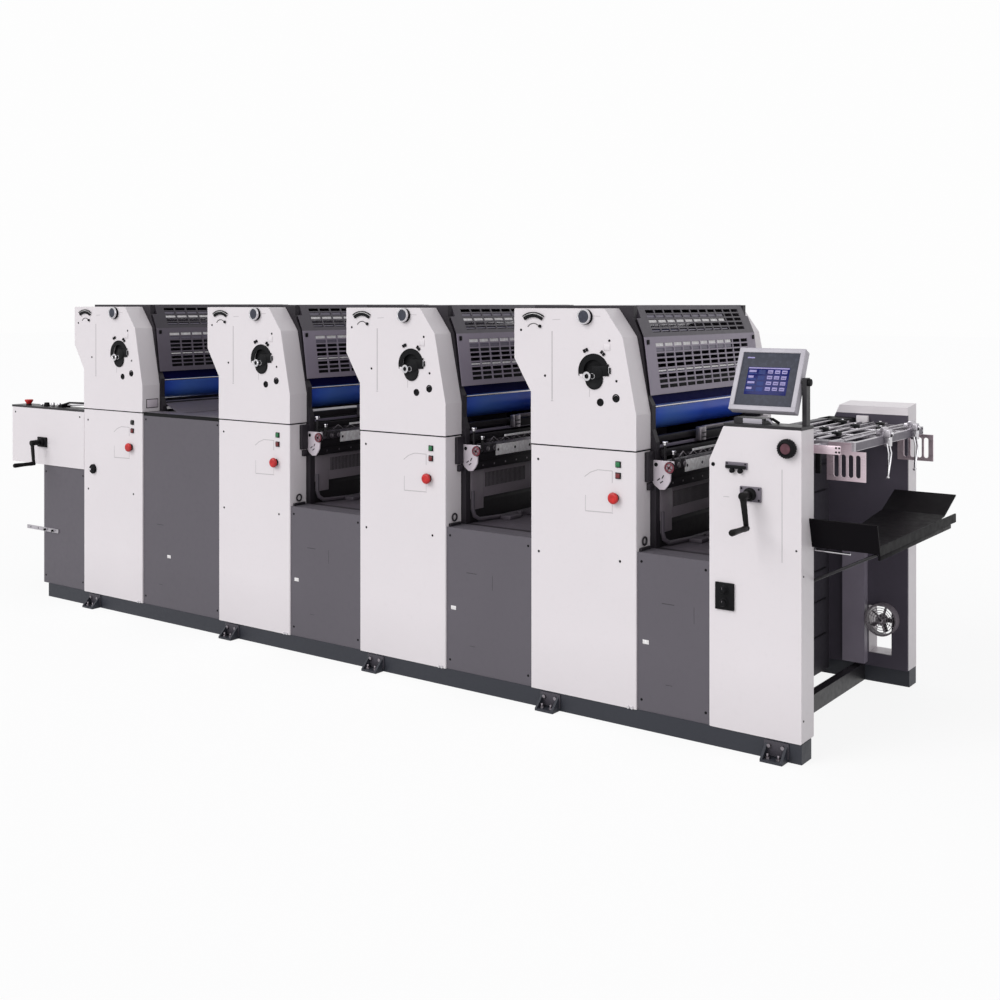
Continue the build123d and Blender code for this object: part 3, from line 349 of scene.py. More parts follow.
# Name, colour, roughness, stretch of the lines, share of the darker clouds, scratches
METALS = (
    ("rail_aluminium", (192, 188, 194), 0.3, (1, 0.05, 1), 0.82),
    ("plate_silver", (214, 196, 204), 0.32, (0.05, 1, 1), 0.85),
    ("chrome_steel", (214, 212, 216), 0.14, (1, 1, 1), 0.86, 0.03),
    ("dull_steel", (150, 144, 150), 0.38, (1, 0.05, 1), 0.75),
)
# Name, colour, strength, share of the darker clouds
DISPLAYS = (
    ("display_blue", (18, 26, 96), 0.15),
    ("display_navy", (18, 44, 116), 0.15),
    ("display_tile", (150, 142, 188), 0.2, 0.85),
)


def mix_finishes():
    """Every finish of the press, by name."""
    colours = bpy.context.scene.press_finish
    housing, cover, base, guard = (
        tuple(shade) for shade in (colours.housing, colours.cover, colours.base, colours.guard))
    sprayed_paint("housing_white", housing, 0.38, 0.4, 0.975, 0.06, 0.1, 0.35)
    sprayed_paint("panel_line", shaded(housing, 0.68), 0.5, 0.3)
    sprayed_paint("cover_grey", cover, 0.5, 0.3, 0.94, 0.12, 0.0, 0.3)
    sprayed_paint("cover_mark", shaded(cover, 0.45), 0.5, 0.3)
    sprayed_paint("base_blue_grey", base, 0.5, 0.35, 0.82, 0.3, 0.0, 0.5)
    # Guard paint with a painted shade on the panel above the fold
    sprayed_paint("guard_mauve", guard, 0.42, 0.4, 0.92, 0.12, 0.05, painted_shade_above_fold=0.24)
    # A darker copy of the guard paint: painted shade, for unit 1's guard
    sprayed_paint("guard_painted_shade", shaded(guard, 0.5), 0.42, 0.3, 0.92, 0.12, 0.05, painted_shade_above_fold=0.36)
    sprayed_paint("rear_mauve", shaded(guard, 0.42), 0.42, 0.4, 0.9, 0.15)
    cast_frame("frame_dark", paint(44, 40, 46))
    moulded_plastic("stop_red", tuple(colours.stop), 0.35, 0.5, 0.05)
    rubber_blanket("cylinder_blue", tuple(colours.blanket))
    for rows, kind in ((PAINTS, sprayed_paint), (PLASTICS, moulded_plastic), (METALS, drawn_metal),
                       (DISPLAYS, lit_glass)):
        for name, shade, *values in rows:
            kind(name, paint(*shade), *values)


# Shapes


def block(mesh, low, high, edge=0.0, segments=2, turn=None):
    """A box between two corners with rounded edges; turn is a matrix that places it."""
    low, high = Vector(low), Vector(high)
    size = high - low
    place = Matrix.Translation((low + high) / 2) @ Matrix.Diagonal((size.x, size.y, size.z, 1))
    made = bmesh.ops.create_cube(mesh, size=1.0, matrix=place)["verts"]
    if edge > 0:
        edges = list({e for v in made for e in v.link_edges})
        result = bmesh.ops.bevel(mesh, geom=edges, offset=edge, offset_type="OFFSET", segments=segments,
                                 profile=0.5, affect="EDGES", material=-1)
        made = list({v for v in result["verts"]} | {v for v in made if v.is_valid})
    if turn is not None:
        bmesh.ops.transform(mesh, matrix=turn, verts=made)


def boxes(origin, *rows):
    """Rounded boxes: rows of mesh, two corners measured from origin, and the edge."""
    origin = Vector(origin)
    for mesh, *row in rows:
        block(mesh, origin + Vector(row[:3]), origin + Vector(row[3:6]), *row[6:])


def drum(mesh, start, end, radius, segments=24, edge=0.0, end_radius=None):
    """A round bar or a cone between two points, with an optional rounded rim."""
    start, end = Vector(start), Vector(end)
    run = end - start
    tip = radius if end_radius is None else end_radius
    place = Matrix.Translation((start + end) / 2) @ run.to_track_quat("Z", "Y").to_matrix().to_4x4()
    made = bmesh.ops.create_cone(mesh, cap_ends=True, cap_tris=False, segments=segments, radius1=radius,
                                 radius2=tip, depth=run.length, matrix=place)["verts"]
    if edge > 0:
        rims = {e for v in made for e in v.link_edges if any(len(f.verts) > 4 for f in e.link_faces)}
        bmesh.ops.bevel(mesh, geom=list(rims), offset=edge, offset_type="OFFSET", segments=2,
                        profile=0.5, affect="EDGES", material=-1)


def lathe(mesh, profile, centre, along=OUT, steps=32, angle=2 * math.pi, start=None):
    """Spins a profile of (radius, height) points about an axis through centre."""
    along = Vector(along).normalized()
    side = Vector(start).normalized() if start else along.orthogonal().normalized()
    centre = Vector(centre)
    points = [mesh.verts.new(centre + side * r + along * h) for r, h in profile]
    edges = [mesh.edges.new(pair) for pair in zip(points, points[1:])]
    whole = abs(angle - 2 * math.pi) < 1e-6
    bmesh.ops.spin(mesh, geom=points + edges, cent=centre, axis=along, angle=angle, steps=steps,
                   use_merge=whole, use_duplicate=False)


def pegs(way, origin, *rows):
    """Round bars one way: rows of mesh, start measured from origin, length, radius, segments, rim."""
    for mesh, start, length, radius, *more in rows:
        start = Vector(origin) + Vector(start)
        drum(mesh, start, start + Vector(way) * length, radius, *more)


def disc(mesh, centre, radius, low, high, steps, along=OUT):
    """A flat round plate between two heights over centre."""
    lathe(mesh, [(0.0, low), (radius, low), (radius, high), (0.0, high)], centre, along, steps)


def hoop(mesh, centre, radius, wire, along=OUT, steps=40, sides=8):
    """A round wire bent to a ring."""
    along = Vector(along).normalized()
    side = along.orthogonal().normalized()
    facing = side.cross(along).to_track_quat("Z", "Y").to_matrix().to_4x4()
    place = Matrix.Translation(Vector(centre) + side * radius) @ facing
    made = bmesh.ops.create_circle(mesh, cap_ends=False, segments=sides, radius=wire, matrix=place)["verts"]
    edges = list({e for v in made for e in v.link_edges})
    bmesh.ops.spin(mesh, geom=made + edges, cent=centre, axis=along, angle=2 * math.pi, steps=steps,
                   use_merge=True, use_duplicate=False)


def wire(mesh, points, radius, sides=10):
    """A bent round wire or rod through several points."""
    points = [Vector(p) for p in points]
    runs = [(b - a).normalized() for a, b in zip(points, points[1:])]
    facing = runs[0]
    place = Matrix.Translation(points[0]) @ facing.to_track_quat("Z", "Y").to_matrix().to_4x4()
    ring = bmesh.ops.create_circle(mesh, cap_ends=True, segments=sides, radius=radius, matrix=place)["verts"]
    edges = list({e for v in ring for e in v.link_edges if e.verts[0] in ring and e.verts[1] in ring})
    for index in range(1, len(points)):
        made = bmesh.ops.extrude_edge_only(mesh, edges=edges)["geom"]
        ring = [g for g in made if isinstance(g, bmesh.types.BMVert)]
        edges = [g for g in made if isinstance(g, bmesh.types.BMEdge) and all(v in ring for v in g.verts)]
        bmesh.ops.translate(mesh, verts=ring, vec=points[index] - points[index - 1])
        ahead = runs[index] if index < len(runs) else runs[-1]
        mitre = (runs[index - 1] + ahead).normalized()
        turn = facing.rotation_difference(mitre).to_matrix()
        bmesh.ops.rotate(mesh, verts=ring, cent=points[index], matrix=turn)
        facing = mitre
    bmesh.ops.contextual_create(mesh, geom=edges)


def slab(mesh, outline, run, edge=0.0):
    """A plate with the given outline, thickened along run."""
    corners = [mesh.verts.new(Vector(point)) for point in outline]
    face = mesh.faces.new(corners)
    grown = bmesh.ops.extrude_face_region(mesh, geom=[face])["geom"]
    tops = [g for g in grown if isinstance(g, bmesh.types.BMVert)]
    bmesh.ops.translate(mesh, verts=tops, vec=Vector(run))
    if edge > 0:
        edges = list({e for v in corners + tops for e in v.link_edges})
        bmesh.ops.bevel(mesh, geom=edges, offset=edge, offset_type="OFFSET", segments=2, profile=0.5,
                        affect="EDGES", material=-1)


def add_object(name, data):
    """A new object in the scene."""
    item = bpy.data.objects.new(name, data)
    bpy.context.scene.collection.objects.link(item)
    return item


def piece(mesh, name, finish, body="machine", stands_for=(), angle=35.0, turn=None):
    """Turns gathered shapes into one piece that rides on a body of the press."""
    bmesh.ops.remove_doubles(mesh, verts=mesh.verts[:], dist=1e-6)
    if turn is not None:
        bmesh.ops.transform(mesh, matrix=turn, verts=mesh.verts[:])
    bmesh.ops.recalc_face_normals(mesh, faces=mesh.faces[:])
    data = bpy.data.meshes.new(name)
    mesh.to_mesh(data)
    mesh.free()
    data.shade_smooth()
    data.set_sharp_from_angle(angle=math.radians(angle))
    data.materials.append(FINISHES[finish])
    item = add_object(name, data)
    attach(item, body)
    if stands_for:
        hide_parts(*stands_for)


def meshes(count):
    """Empty meshes to gather shapes in."""
    return [bmesh.new() for _ in range(count)]


def pieces(*rows, **more):
    """A piece for each row of mesh, name and finish."""
    for mesh, name, finish in rows:
        piece(mesh, name, finish, **more)


def coat_nodes(finish, *names):
    """Gives CAD pieces their finish."""
    for name in names:
        item = frame["nodes"][name]
        item.data.materials.clear()
        item.data.materials.append(FINISHES[finish])
        for place in item.material_slots:
            place.material = FINISHES[finish]


def screw_head(mesh, centre, radius, along=OUT, height=0.0015):
    """A low domed screw head with a socket."""
    profile = [(0.0, height * 0.4), (radius * 0.42, height * 0.4), (radius * 0.46, height),
               (radius * 0.8, height), (radius, height * 0.4), (radius, -0.0004), (0.0, -0.0004)]
    lathe(mesh, profile, centre, along, 12)


def spoke(angle):
    """The direction at an angle on the operating face."""
    return Vector((math.cos(angle), 0, math.sin(angle)))


def arc_points(centre, radius, start, end, count):
    """Points on an arc that faces the operator, from angle start to angle end."""
    return [centre + spoke(start + (end - start) * n / count) * radius for n in range(count + 1)]


def turned(place, degrees):
    """A matrix that turns about the operator's line of sight and moves to place."""
    return Matrix.Translation(place) @ Matrix.Rotation(math.radians(degrees), 4, "Y")


def line(mesh, start, end, width, height=0.0004):
    """A fine scribed line on the operating face, from (x, z) to (x, z)."""
    first = Vector((start[0], FACE, start[1]))
    last = Vector((end[0], FACE, end[1]))
    run = (last - first).normalized()
    across = Vector((-run.z, 0, run.x)) * width / 2
    slab(mesh, [first - across, last - across, last + across, first + across], OUT * height)


# Base and frames


class PRESS_OT_base(bpy.types.Operator):
    """Base beams, floor slab, cross bar and levelling screws"""

    bl_idname = "press.base"
    bl_label = "Base"

    def execute(self, context):
        coat_nodes("base_blue_grey", "base_beam_near", "base_beam_far", "base_floor")
        coat_nodes("cap_black", "delivery_cross_bar")
        bolts, gussets = meshes(2)
        for side in (-1, 1):
            out = Vector((0, side, 0))
            face = side * BASE_FACE
            low, high = sorted((face, face + side * 0.006))
            for x in [unit.left + 0.1 for unit in UNITS] + [COLUMN_HIGH.x - 0.1]:
                for dx in (-0.022, 0.022):
                    pegs(UP, (x + dx, side * (BASE_FACE + 0.034), 0), (bolts, (0, 0, 0.01), 0.007, 0.009, 6),
                         (bolts, (0, 0, 0.017), 0.013, 0.005, 12, 0.001))
                block(gussets, (x - 0.05, low, 0.012), (x + 0.05, high, 0.07), 0.0015)
                pegs(out, (x, face, 0.052), (bolts, (-0.028, 0, 0), 0.014, 0.008, 6),
                     (bolts, (0.028, 0, 0), 0.014, 0.008, 6))
        pieces((gussets, "foot_pads", "panel_black"), (bolts, "foot_bolts", "dull_steel"))
        return {"FINISHED"}


class PRESS_OT_frames(bpy.types.Operator):
    """Side frames, decks with their fittings and conduits, and rear covers"""

    bl_idname = "press.frames"
    bl_label = "Side frames and decks"

    def execute(self, context):
        coat_nodes("frame_dark", "side_frame_near", "side_frame_far")
        coat_nodes("deck_grey", "bay_decks")
        coat_nodes("rear_mauve", "unit_rear_covers")
        clutter, conduits = meshes(2)
        bends = ((0.03, -0.488, 0.146), (0.03, -0.488, 0.061), (0.034, -0.48, 0.031), (0.042, -0.455, 0.014),
                 (0.06, -0.3, 0.01), (0.062, 0, 0.01), (0.06, 0.42, 0.01))
        for unit in UNITS[1:]:
            deck = Vector((unit.right, 0, COVER_TOP))
            for index, y in enumerate((-0.33, -0.15, 0.03, 0.22)):
                boxes(deck, (clutter, 0.07, y, 0, 0.13 + 0.02 * (index % 2), y + 0.09, 0.018, 0.004))
                pegs(UP, deck, (clutter, (0.1, y + 0.12, 0), 0.026, 0.012, 20, 0.002))
            wire(conduits, [deck + Vector(bend) for bend in bends], 0.0095, 14)
        pieces((clutter, "deck_fittings", "deck_grey"), (conduits, "deck_conduits", "deck_grey"))
        return {"FINISHED"}


# Units


class PRESS_OT_housings(bpy.types.Operator):
    """White housings with their screws, scribed lines and seams"""

    bl_idname = "press.housings"
    bl_label = "Unit housings"

    def execute(self, context):
        sizes = context.scene.press_size
        screws, chrome, lines, gaskets = meshes(4)
        spots = ((0.038, 1.057), (0.041, 0.664), (0.443, 0.668), (0.073, 1.414), (-0.052, 1.607), (0.426, 1.403),
                 (0.392, 1.568))
        # Scribed lines: from x, z to x, z and their width as a share of the setting
        scribed = ((0.272, 1.001, 0.300, 1.021, 1.5), (0.300, 1.021, 0.336, 1.034, 1.5),
                   (0.336, 1.034, 0.406, 1.034, 1.5), (0.406, 1.034, 0.406, 0.985, 1.5),
                   (0.276, 0.859, 0.409, 0.862, 1.8), (0.276, 0.925, 0.276, 0.859, 1),
                   (0.406, 0.905, 0.406, 0.866, 1), (0.109, 1.313, 0.109, 1.604, 2.4),
                   (0.103, 1.309, 0.115, 1.309, 1.6), (0.111, 1.652, 0.150, 1.654, 1),
                   (0.296, 1.333, 0.296, 1.366, 1), (0.297, 1.670, 0.349, 1.668, 1))
        for unit in UNITS:
            left = unit.left
            coat_nodes("housing_white", f"unit_{unit.number}_housing_near", f"unit_{unit.number}_housing_far")
            for x, z in spots:
                screw_head(screws, (left + x, FACE, z), sizes.screw_radius)
            for x in (0.483, 0.5):
                pegs(OUT, (left + x, FACE, 0.081), (chrome, (0, 0, 0), 0.006, 0.006, 6))
            for x, z, end_x, end_z, share in scribed:
                line(lines, (left + x, z), (left + end_x, end_z), sizes.line_width * share)
            for face, inner in ((FACE - 0.0007, INNER), (-INNER, -FACE + 0.0007)):
                block(gaskets, (left + 0.0004, face, SEAM - 0.0042), (unit.right + 0.0006, inner, SEAM + 0.0012))
        pieces((gaskets, "housing_seam_gaskets", "control_black"), (screws, "housing_screws", "control_black"),
               (chrome, "housing_foot_bolts", "chrome_steel"), (lines, "housing_lines", "panel_line"))
        return {"FINISHED"}


def scale_arc(black, pale, left, top):
    """A flat curved scale: dark rim, pale band, dark band, and a fine inner arc with its pointer."""
    middle = Vector((left + 0.014, FACE, top))
    wide = math.radians(35)
    for drop, inner, outer, depth, mesh, reach in (
            (0.112, 0.0925, 0.0965, 0.008, black, wide), (0.112, 0.0885, 0.0925, 0.005, pale, wide),
            (0.112, 0.0745, 0.0885, 0.007, black, wide), (0.101, 0.0355, 0.038, 0.002, black, 0.95)):
        centre = middle + Vector((0, 0, -drop))
        outline = [(inner, 0), (inner, depth), (outer, depth), (outer, 0), (inner, 0)]
        lathe(mesh, outline, centre, OUT, 24, 2 * reach, (math.sin(reach), 0, math.cos(reach)))
        for sign in (-1, 1):
            way = Vector((sign * math.sin(reach), 0, math.cos(reach)))
            mesh.faces.new([mesh.verts.new(centre + way * r + OUT * h) for r, h in outline[:4]])
    drum(black, middle + Vector((0.034, 0, -0.076)), middle + Vector((0.034, -0.007, -0.076)), 0.0072, edge=0.0015)


def setting_ring(black, chrome, white, ring):
    """Round window with its dark works: a half ring above, a proud lobe below, a hub and three tabs."""
    window, lobe_radius = 0.0566, 0.0425
    disc(black, ring, window, -0.0138, -0.012, 56)
    low, high = math.radians(-14), math.radians(196)
    back = ring + OUT * -0.0005
    outline = arc_points(back, 0.0745, low, high, 48) + arc_points(back, 0.049, high, low, 48)
    slab(black, outline, OUT * 0.0025)
    # Filler flush with the housing, under the lobe
    reach = math.pi / 2 - math.acos(-0.012 / window)
    slab(white, arc_points(ring + OUT * -0.0118, window, reach, -math.pi - reach, 30), OUT * 0.0118)
    lathe(black, [(0, -0.011), (lobe_radius, -0.011), (lobe_radius, 0.004), (0.041, 0.006), (0.032, 0.0065),
                  (0.027, 0.0035), (0, 0.0035)], ring + Vector((0.003, 0, -0.032)), OUT, 48)
    # Works seen in the window, plates at its right, and two white blocks beside it
    boxes(ring, (black, -0.006, -0.0065, -0.018, 0.066, 0.012, 0.026, 0.005))
    pegs(OUT, ring, (black, (0.022, 0.012, -0.004), 0.021, 0.026, 32, 0.003))
    hoop(chrome, ring + Vector((-0.002, -0.0085, -0.019)), 0.0115, 0.0011, steps=28, sides=6)
    boxes(ring, (black, 0.062, -0.006, -0.016, 0.0745, 0, 0.032, 0.0015),
          (chrome, 0.0752, -0.006, -0.006, 0.0775, 0, 0.021, 0.0006),
          (black, 0.0782, -0.007, -0.006, 0.0832, 0, 0.018, 0.001),
          (white, -0.068, -0.003, -0.026, -0.045, 0, -0.012, 0.001),
          (white, 0.05, -0.0025, 0.088, 0.08, 0, 0.116, 0.002))
    # Bright hub with a dark socket
    hub = ring + Vector((-0.027, 0, -0.020))
    lathe(chrome, [(0.0095, 0.005), (0.0095, 0.0135), (0.0115, 0.0155), (0.0165, 0.0155), (0.0192, 0.013),
                   (0.0195, 0.002), (0.0195, -0.011), (0, -0.011), (0, 0.005), (0.0095, 0.005)], hub, OUT, 36)
    pegs(OUT, hub, (black, (0, -0.0048, 0), 0.0062, 0.0068, 20, 0.001))
    for x, z, lean in ((-0.038, 0.087, -24), (0.045, 0.077, 44)):
        place = turned(ring + Vector((x, 0, z)), lean)
        for start, end in ((-0.0115, -0.0017), (0.0017, 0.0115)):
            block(black, (start, -0.006, -0.007), (end, 0, 0.007), 0.0012, turn=place)


class PRESS_OT_operator_controls(bpy.types.Operator):
    """Scale arcs, knobs, setting rings, keys and stop buttons of the units"""

    bl_idname = "press.operator_controls"
    bl_label = "Operator controls"

    def execute(self, context):
        black, pale, chrome, faces, white, keys_green, keys_red, keys_black, stops = meshes(9)
        for unit in UNITS:
            right = unit.right
            scale_arc(black, pale, unit.left, TOP)
            # Round knob at the top edge: chrome ring, grey face, dark crescent behind
            knob = Vector((right - 0.243, FACE, TOP - 0.0335))
            disc(black, knob + Vector((0.003, 0, -0.001)), 0.0325, 0, 0.009, 40)
            lathe(chrome, [(0, 0.009), (0.031, 0.009), (0.0325, 0.011), (0.0325, 0.015), (0.0305, 0.0195),
                           (0.0265, 0.0198), (0.0245, 0.0168), (0, 0.0168)], knob, OUT, 44)
            lathe(faces, [(0, 0.0169), (0.0242, 0.0169), (0.0242, 0.0175), (0, 0.018)], knob, OUT, 36)
            setting_ring(black, chrome, white, Vector((right - 0.203, FACE, TOP - 0.261)))
            for x, z, rim in ((-0.17, 0.192, 0.0162), (-0.095, 0.212, 0.0172)):
                lathe(black, [(0, -0.002), (rim * 0.72, -0.002), (rim * 0.72, 0.0012), (rim, 0.0012),
                              (rim, -0.0003), (0, -0.0035)], (right + x, FACE, SEAM + z), OUT, 28)
            # Two keys in black bezels and the stop button
            upper = keys_black if unit.number == 1 else keys_green
            for drop, target in ((0.058, upper), (0.104, keys_red)):
                boxes((right - 0.084, FACE, SEAM - drop), (black, -0.013, -0.004, -0.013, 0.013, 0, 0.013, 0.0015),
                      (target, -0.0095, -0.009, -0.0095, 0.0095, -0.0035, 0.0095, 0.0015))
            stop = Vector((right - 0.1, FACE, SEAM - 0.196))
            lathe(black, [(0, 0), (0.019, 0), (0.019, 0.004), (0.015, 0.006), (0.013, 0.013), (0, 0.013)],
                  stop, OUT, 28)
            lathe(stops, [(0, 0.012), (0.0215, 0.012), (0.024, 0.0145), (0.024, 0.0185), (0.0212, 0.0235),
                          (0.0155, 0.0262), (0.009, 0.0252), (0, 0.0248)], stop, OUT, 40)
        pieces((black, "unit_dark_fittings", "control_black"), (pale, "unit_scale_bands", "tick_white"),
               (chrome, "unit_bright_rings", "chrome_steel"), (faces, "unit_knob_faces", "bezel_slate"),
               (white, "unit_window_fillers", "housing_white"), (keys_green, "unit_keys_green", "key_green"),
               (keys_red, "unit_keys_red", "key_red"), (keys_black, "unit_keys_black", "key_black"),
               (stops, "unit_stop_buttons", "stop_red"), stands_for=CONTROLS)
        return {"FINISHED"}


class PRESS_OT_guards(bpy.types.Operator):
    """Slotted guards with hinge blocks, latches and folded edges"""

    bl_idname = "press.guards"
    bl_label = "Guards"

    def execute(self, context):
        hinges, pins = meshes(2)
        front, upper = Vector((0.032, 0, -0.239)).normalized(), Vector((-0.057, 0, 0.133)).normalized()
        for unit in UNITS:
            body = f"unit_{unit.number}_guard"
            # Unit 1's guard takes the darker copy of the guard paint, a painted shade
            coat_nodes("guard_painted_shade" if unit.number == 1 else "guard_mauve", body)
            fold = Vector((unit.right - 0.032, 0, TOP - 0.12))
            bright, dull, latch = meshes(3)
            # Light strips behind the slots, painted highlights: white where brightest, lilac where dimmer; by their
            # way from the fold, their distance and half their width
            for target, along, reach, half in ((bright, front, 0.033, 0.0075), (dull, front, 0.054, 0.0065),
                                               (bright, front, 0.1425, 0.003), (bright, upper, 0.0725, 0.006),
                                               (dull, upper, 0.0955, 0.006), (dull, upper, 0.0285, 0.003)):
                inward = Vector((-abs(along.z), 0, -abs(along.x)))
                middle = fold + along * reach + inward * 0.0036
                corners = ((-half, -0.452), (half, -0.452), (half, 0.27), (-half, 0.27))
                slab(target, [middle + along * s + Vector((0, y, 0)) for s, y in corners], inward * 0.0008)
            # White and lilac strips: painted highlights behind the slots
            pieces((bright, f"{body}_strips", "tick_white"), (dull, f"{body}_grey_strips", "strip_lilac"), body=body)
            # Hinge blocks on the side frames, beside the guard's notched corners
            hinge = Vector((unit.right - 0.101, 0, TOP - 0.012))
            for side in (-1, 1):
                low, high = sorted(side * (FRAME_FAR + off) for off in (0.004, 0.022))
                boxes(hinge, (hinges, -0.017, low, -0.016, 0.017, high, 0.018, 0.003),
                      (hinges, -0.034, low, 0, -0.017, high, 0.014, 0.002))
                pegs(-OUT, hinge, (pins, (0, low - 0.002, 0), high - low + 0.004, 0.0065, 18, 0.001))
            # Two small latches on the fold
            low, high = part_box(body)
            for y in (low.y + 0.014, high.y - 0.03):
                boxes(fold, (latch, 0.0032, y, -0.03, 0.0085, y + 0.016, -0.01, 0.0012))
            piece(latch, f"{body}_latches", "control_black", body)
        pieces((hinges, "guard_hinges", "control_black"), (pins, "guard_hinge_pins", "dull_steel"))
        return {"FINISHED"}


class PRESS_OT_cylinders(bpy.types.Operator):
    """Blue blanket cylinders with their steel end rings"""

    bl_idname = "press.cylinders"
    bl_label = "Blanket cylinders"

    def execute(self, context):
        for unit in UNITS:
            body = f"unit_{unit.number}_blanket_cylinder"
            coat_nodes("cylinder_blue", body)
            low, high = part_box(body)
            centre = Vector(((low.x + high.x) / 2, 0, (low.z + high.z) / 2))
            rings = bmesh.new()
            for side in (-1, 1):
                inner = centre + Vector((0, side * 0.487, 0))
                lathe(rings, [(0.0955, 0), (0.0955, 0.009), (0.03, 0.0095)], inner, (0, side, 0), 64)
            piece(rings, f"unit_{unit.number}_cylinder_rings", "dull_steel", body)
        return {"FINISHED"}


class PRESS_OT_rollers(bpy.types.Operator):
    """Inking and damping rollers behind the guards, of rubber and of steel"""

    bl_idname = "press.rollers"
    bl_label = "Rollers"

    def execute(self, context):
        rubber, steel, shafts = meshes(3)
        span = FRAME_FAR - FRAME_NEAR
        for unit in UNITS:
            corner = (unit.right, FRAME_NEAR, TOP)
            for setback, drop, target in ((0.399, 0.080, rubber), (0.304, 0.110, rubber), (0.209, 0.075, steel),
                                          (0.134, 0.145, steel), (0.219, 0.200, rubber)):
                pegs(-OUT, corner, (target, (-setback, 0.012, -drop), span - 0.024, 0.034, 48, 0.002),
                     (shafts, (-setback, 0, -drop), span, 0.011, 20))
            pegs(-OUT, (unit.right, FRAME_NEAR, 1.434), (steel, (-0.048, 0, 0), span, 0.0075, 20))
        pieces((rubber, "rubber_rollers", "roller_rubber"), (steel, "steel_rollers", "chrome_steel"),
               (shafts, "roller_shafts", "dull_steel"), stands_for=("ink_rollers",))
        return {"FINISHED"}


class PRESS_OT_covers(bpy.types.Operator):
    """Grey lower covers with their screws, small plates and dashes"""

    bl_idname = "press.covers"
    bl_label = "Lower covers"

    def execute(self, context):
        radius = context.scene.press_size.screw_radius
        coat_nodes("cover_grey", "lower_covers_near", "lower_covers_far")
        screws, marks, plates = meshes(3)
        ends = [unit.left for unit in UNITS[1:]] + [COLUMN_LOW.x]
        for index, (unit, end) in enumerate(zip(UNITS, ends)):
            high = COVER_TOP if index else SEAM
            for side in (-1, 1):
                for x in (unit.right + 0.02, end - 0.02):
                    for z in (high - 0.036, 0.12):
                        screw_head(screws, (x, -side * COVER_FACE, z), radius, (0, side, 0))
            boxes((unit.right, COVER_FACE, 0), (marks, 0.113, -0.0004, 0.5195, 0.169, 0, 0.5225),
                  (marks, 0.13, -0.0004, 0.1965, 0.16, 0, 0.1985),
                  *([(marks, 0.256, -0.0004, 0.459, 0.2575, 0, 0.524),
                     (plates, 0.0255, -0.001, 0.347, 0.054, 0, 0.364, 0.0004)] if index else
                    [(plates, 0.2, -0.001, 0.347, 0.228, 0, 0.364, 0.0004)]))
        for x in (UNITS[0].left - 0.373, UNITS[0].left - 0.02):
            for z in (0.73, 0.12):
                screw_head(screws, (x, COVER_FACE, z), radius)
        pieces((screws, "cover_screws", "control_black"), (marks, "cover_dashes", "cover_mark"),
               (plates, "cover_small_plates", "tick_white"))
        return {"FINISHED"}


def bracket_plate(mesh, x):
    """Bright irregular plate at the near end of a rail, with a slanted foot."""
    outline = [(0.011, 1.078), (0.011, 0.992), (0.022, 0.975), (0.046, 0.958), (0.07, 0.96), (0.084, 0.976),
               (0.096, 0.996), (0.098, 1.03), (0.112, 1.04), (0.112, 1.078)]
    slab(mesh, [(x + dx, PLATE_FACE + 0.008, z) for dx, z in outline], OUT * 0.008, 0.0015)


def cross_sheet(mesh, x, outline):
    """A sheet from side frame to side frame, from its outline of points measured from x and z."""
    slab(mesh, [(x + dx, FRAME_NEAR + 0.001, z) for dx, z in outline], (0, FRAME_FAR - FRAME_NEAR - 0.002, 0))


def dial(black, rose, pale, place):
    """A small handwheel with a rosy rim, four spokes and a pale face."""
    lathe(black, [(0, 0), (0.0235, 0), (0.0245, 0.004), (0.0225, 0.0075), (0, 0.0075)], place, OUT, 36)
    hoop(rose, place + OUT * 0.0095, 0.0195, 0.0032, steps=36)
    lathe(pale, [(0, 0.0075), (0.0155, 0.0075), (0.0145, 0.0095), (0, 0.0105)], place, OUT, 28)
    for lean in (35, 125):
        block(rose, (-0.0185, -0.0022, -0.0022), (0.0185, 0.001, 0.0022), 0.0008,
              turn=turned(place + OUT * 0.0108, lean))
    pegs(OUT, place, (black, (0, -0.011, 0), 0.0045, 0.0042, 16, 0.001))


def linkage(dark, steel, rail):
    """Small rollers and levers in a row behind a rail, and the fittings at its operating end."""
    for step in range(10):
        spot = Vector((rail, FRAME_NEAR + 0.1 + step * 0.09, 0))
        boxes(spot, (dark, -0.014, 0, 1.074, 0.01, 0.022, 1.092, 0.002))
        pegs(UP, spot, (dark, (-0.002, 0.045, 1.078), 0.012, 0.009, 18, 0.001))
        wire(steel, [spot + Vector(bend) for bend in (
            (0.008, 0, 1.082), (0.012, 0.03, 1.096 + 0.006 * (step % 3 == 0)), (0.008, 0.07, 1.08))], 0.0022, 8)
    pegs(ALONG, (rail, 0, 1.04), *((dark, (0.0168, y, 0), 0.0014, 0.0065, 16)
                                   for y in (-0.345, -0.21, -0.09, 0.07, 0.21, 0.35, 0.47)))
    for start, size in ((-0.46, 0.05), (-0.4, 0.035)):
        boxes((rail, start, 0), (dark, 0.006, 0, 1.036, 0.022, size, 1.074, 0.003))
        pegs(ALONG, (rail, start, 1.052), (steel, (0.022, size / 2, 0), 0.006, 0.011, 20, 0.002))


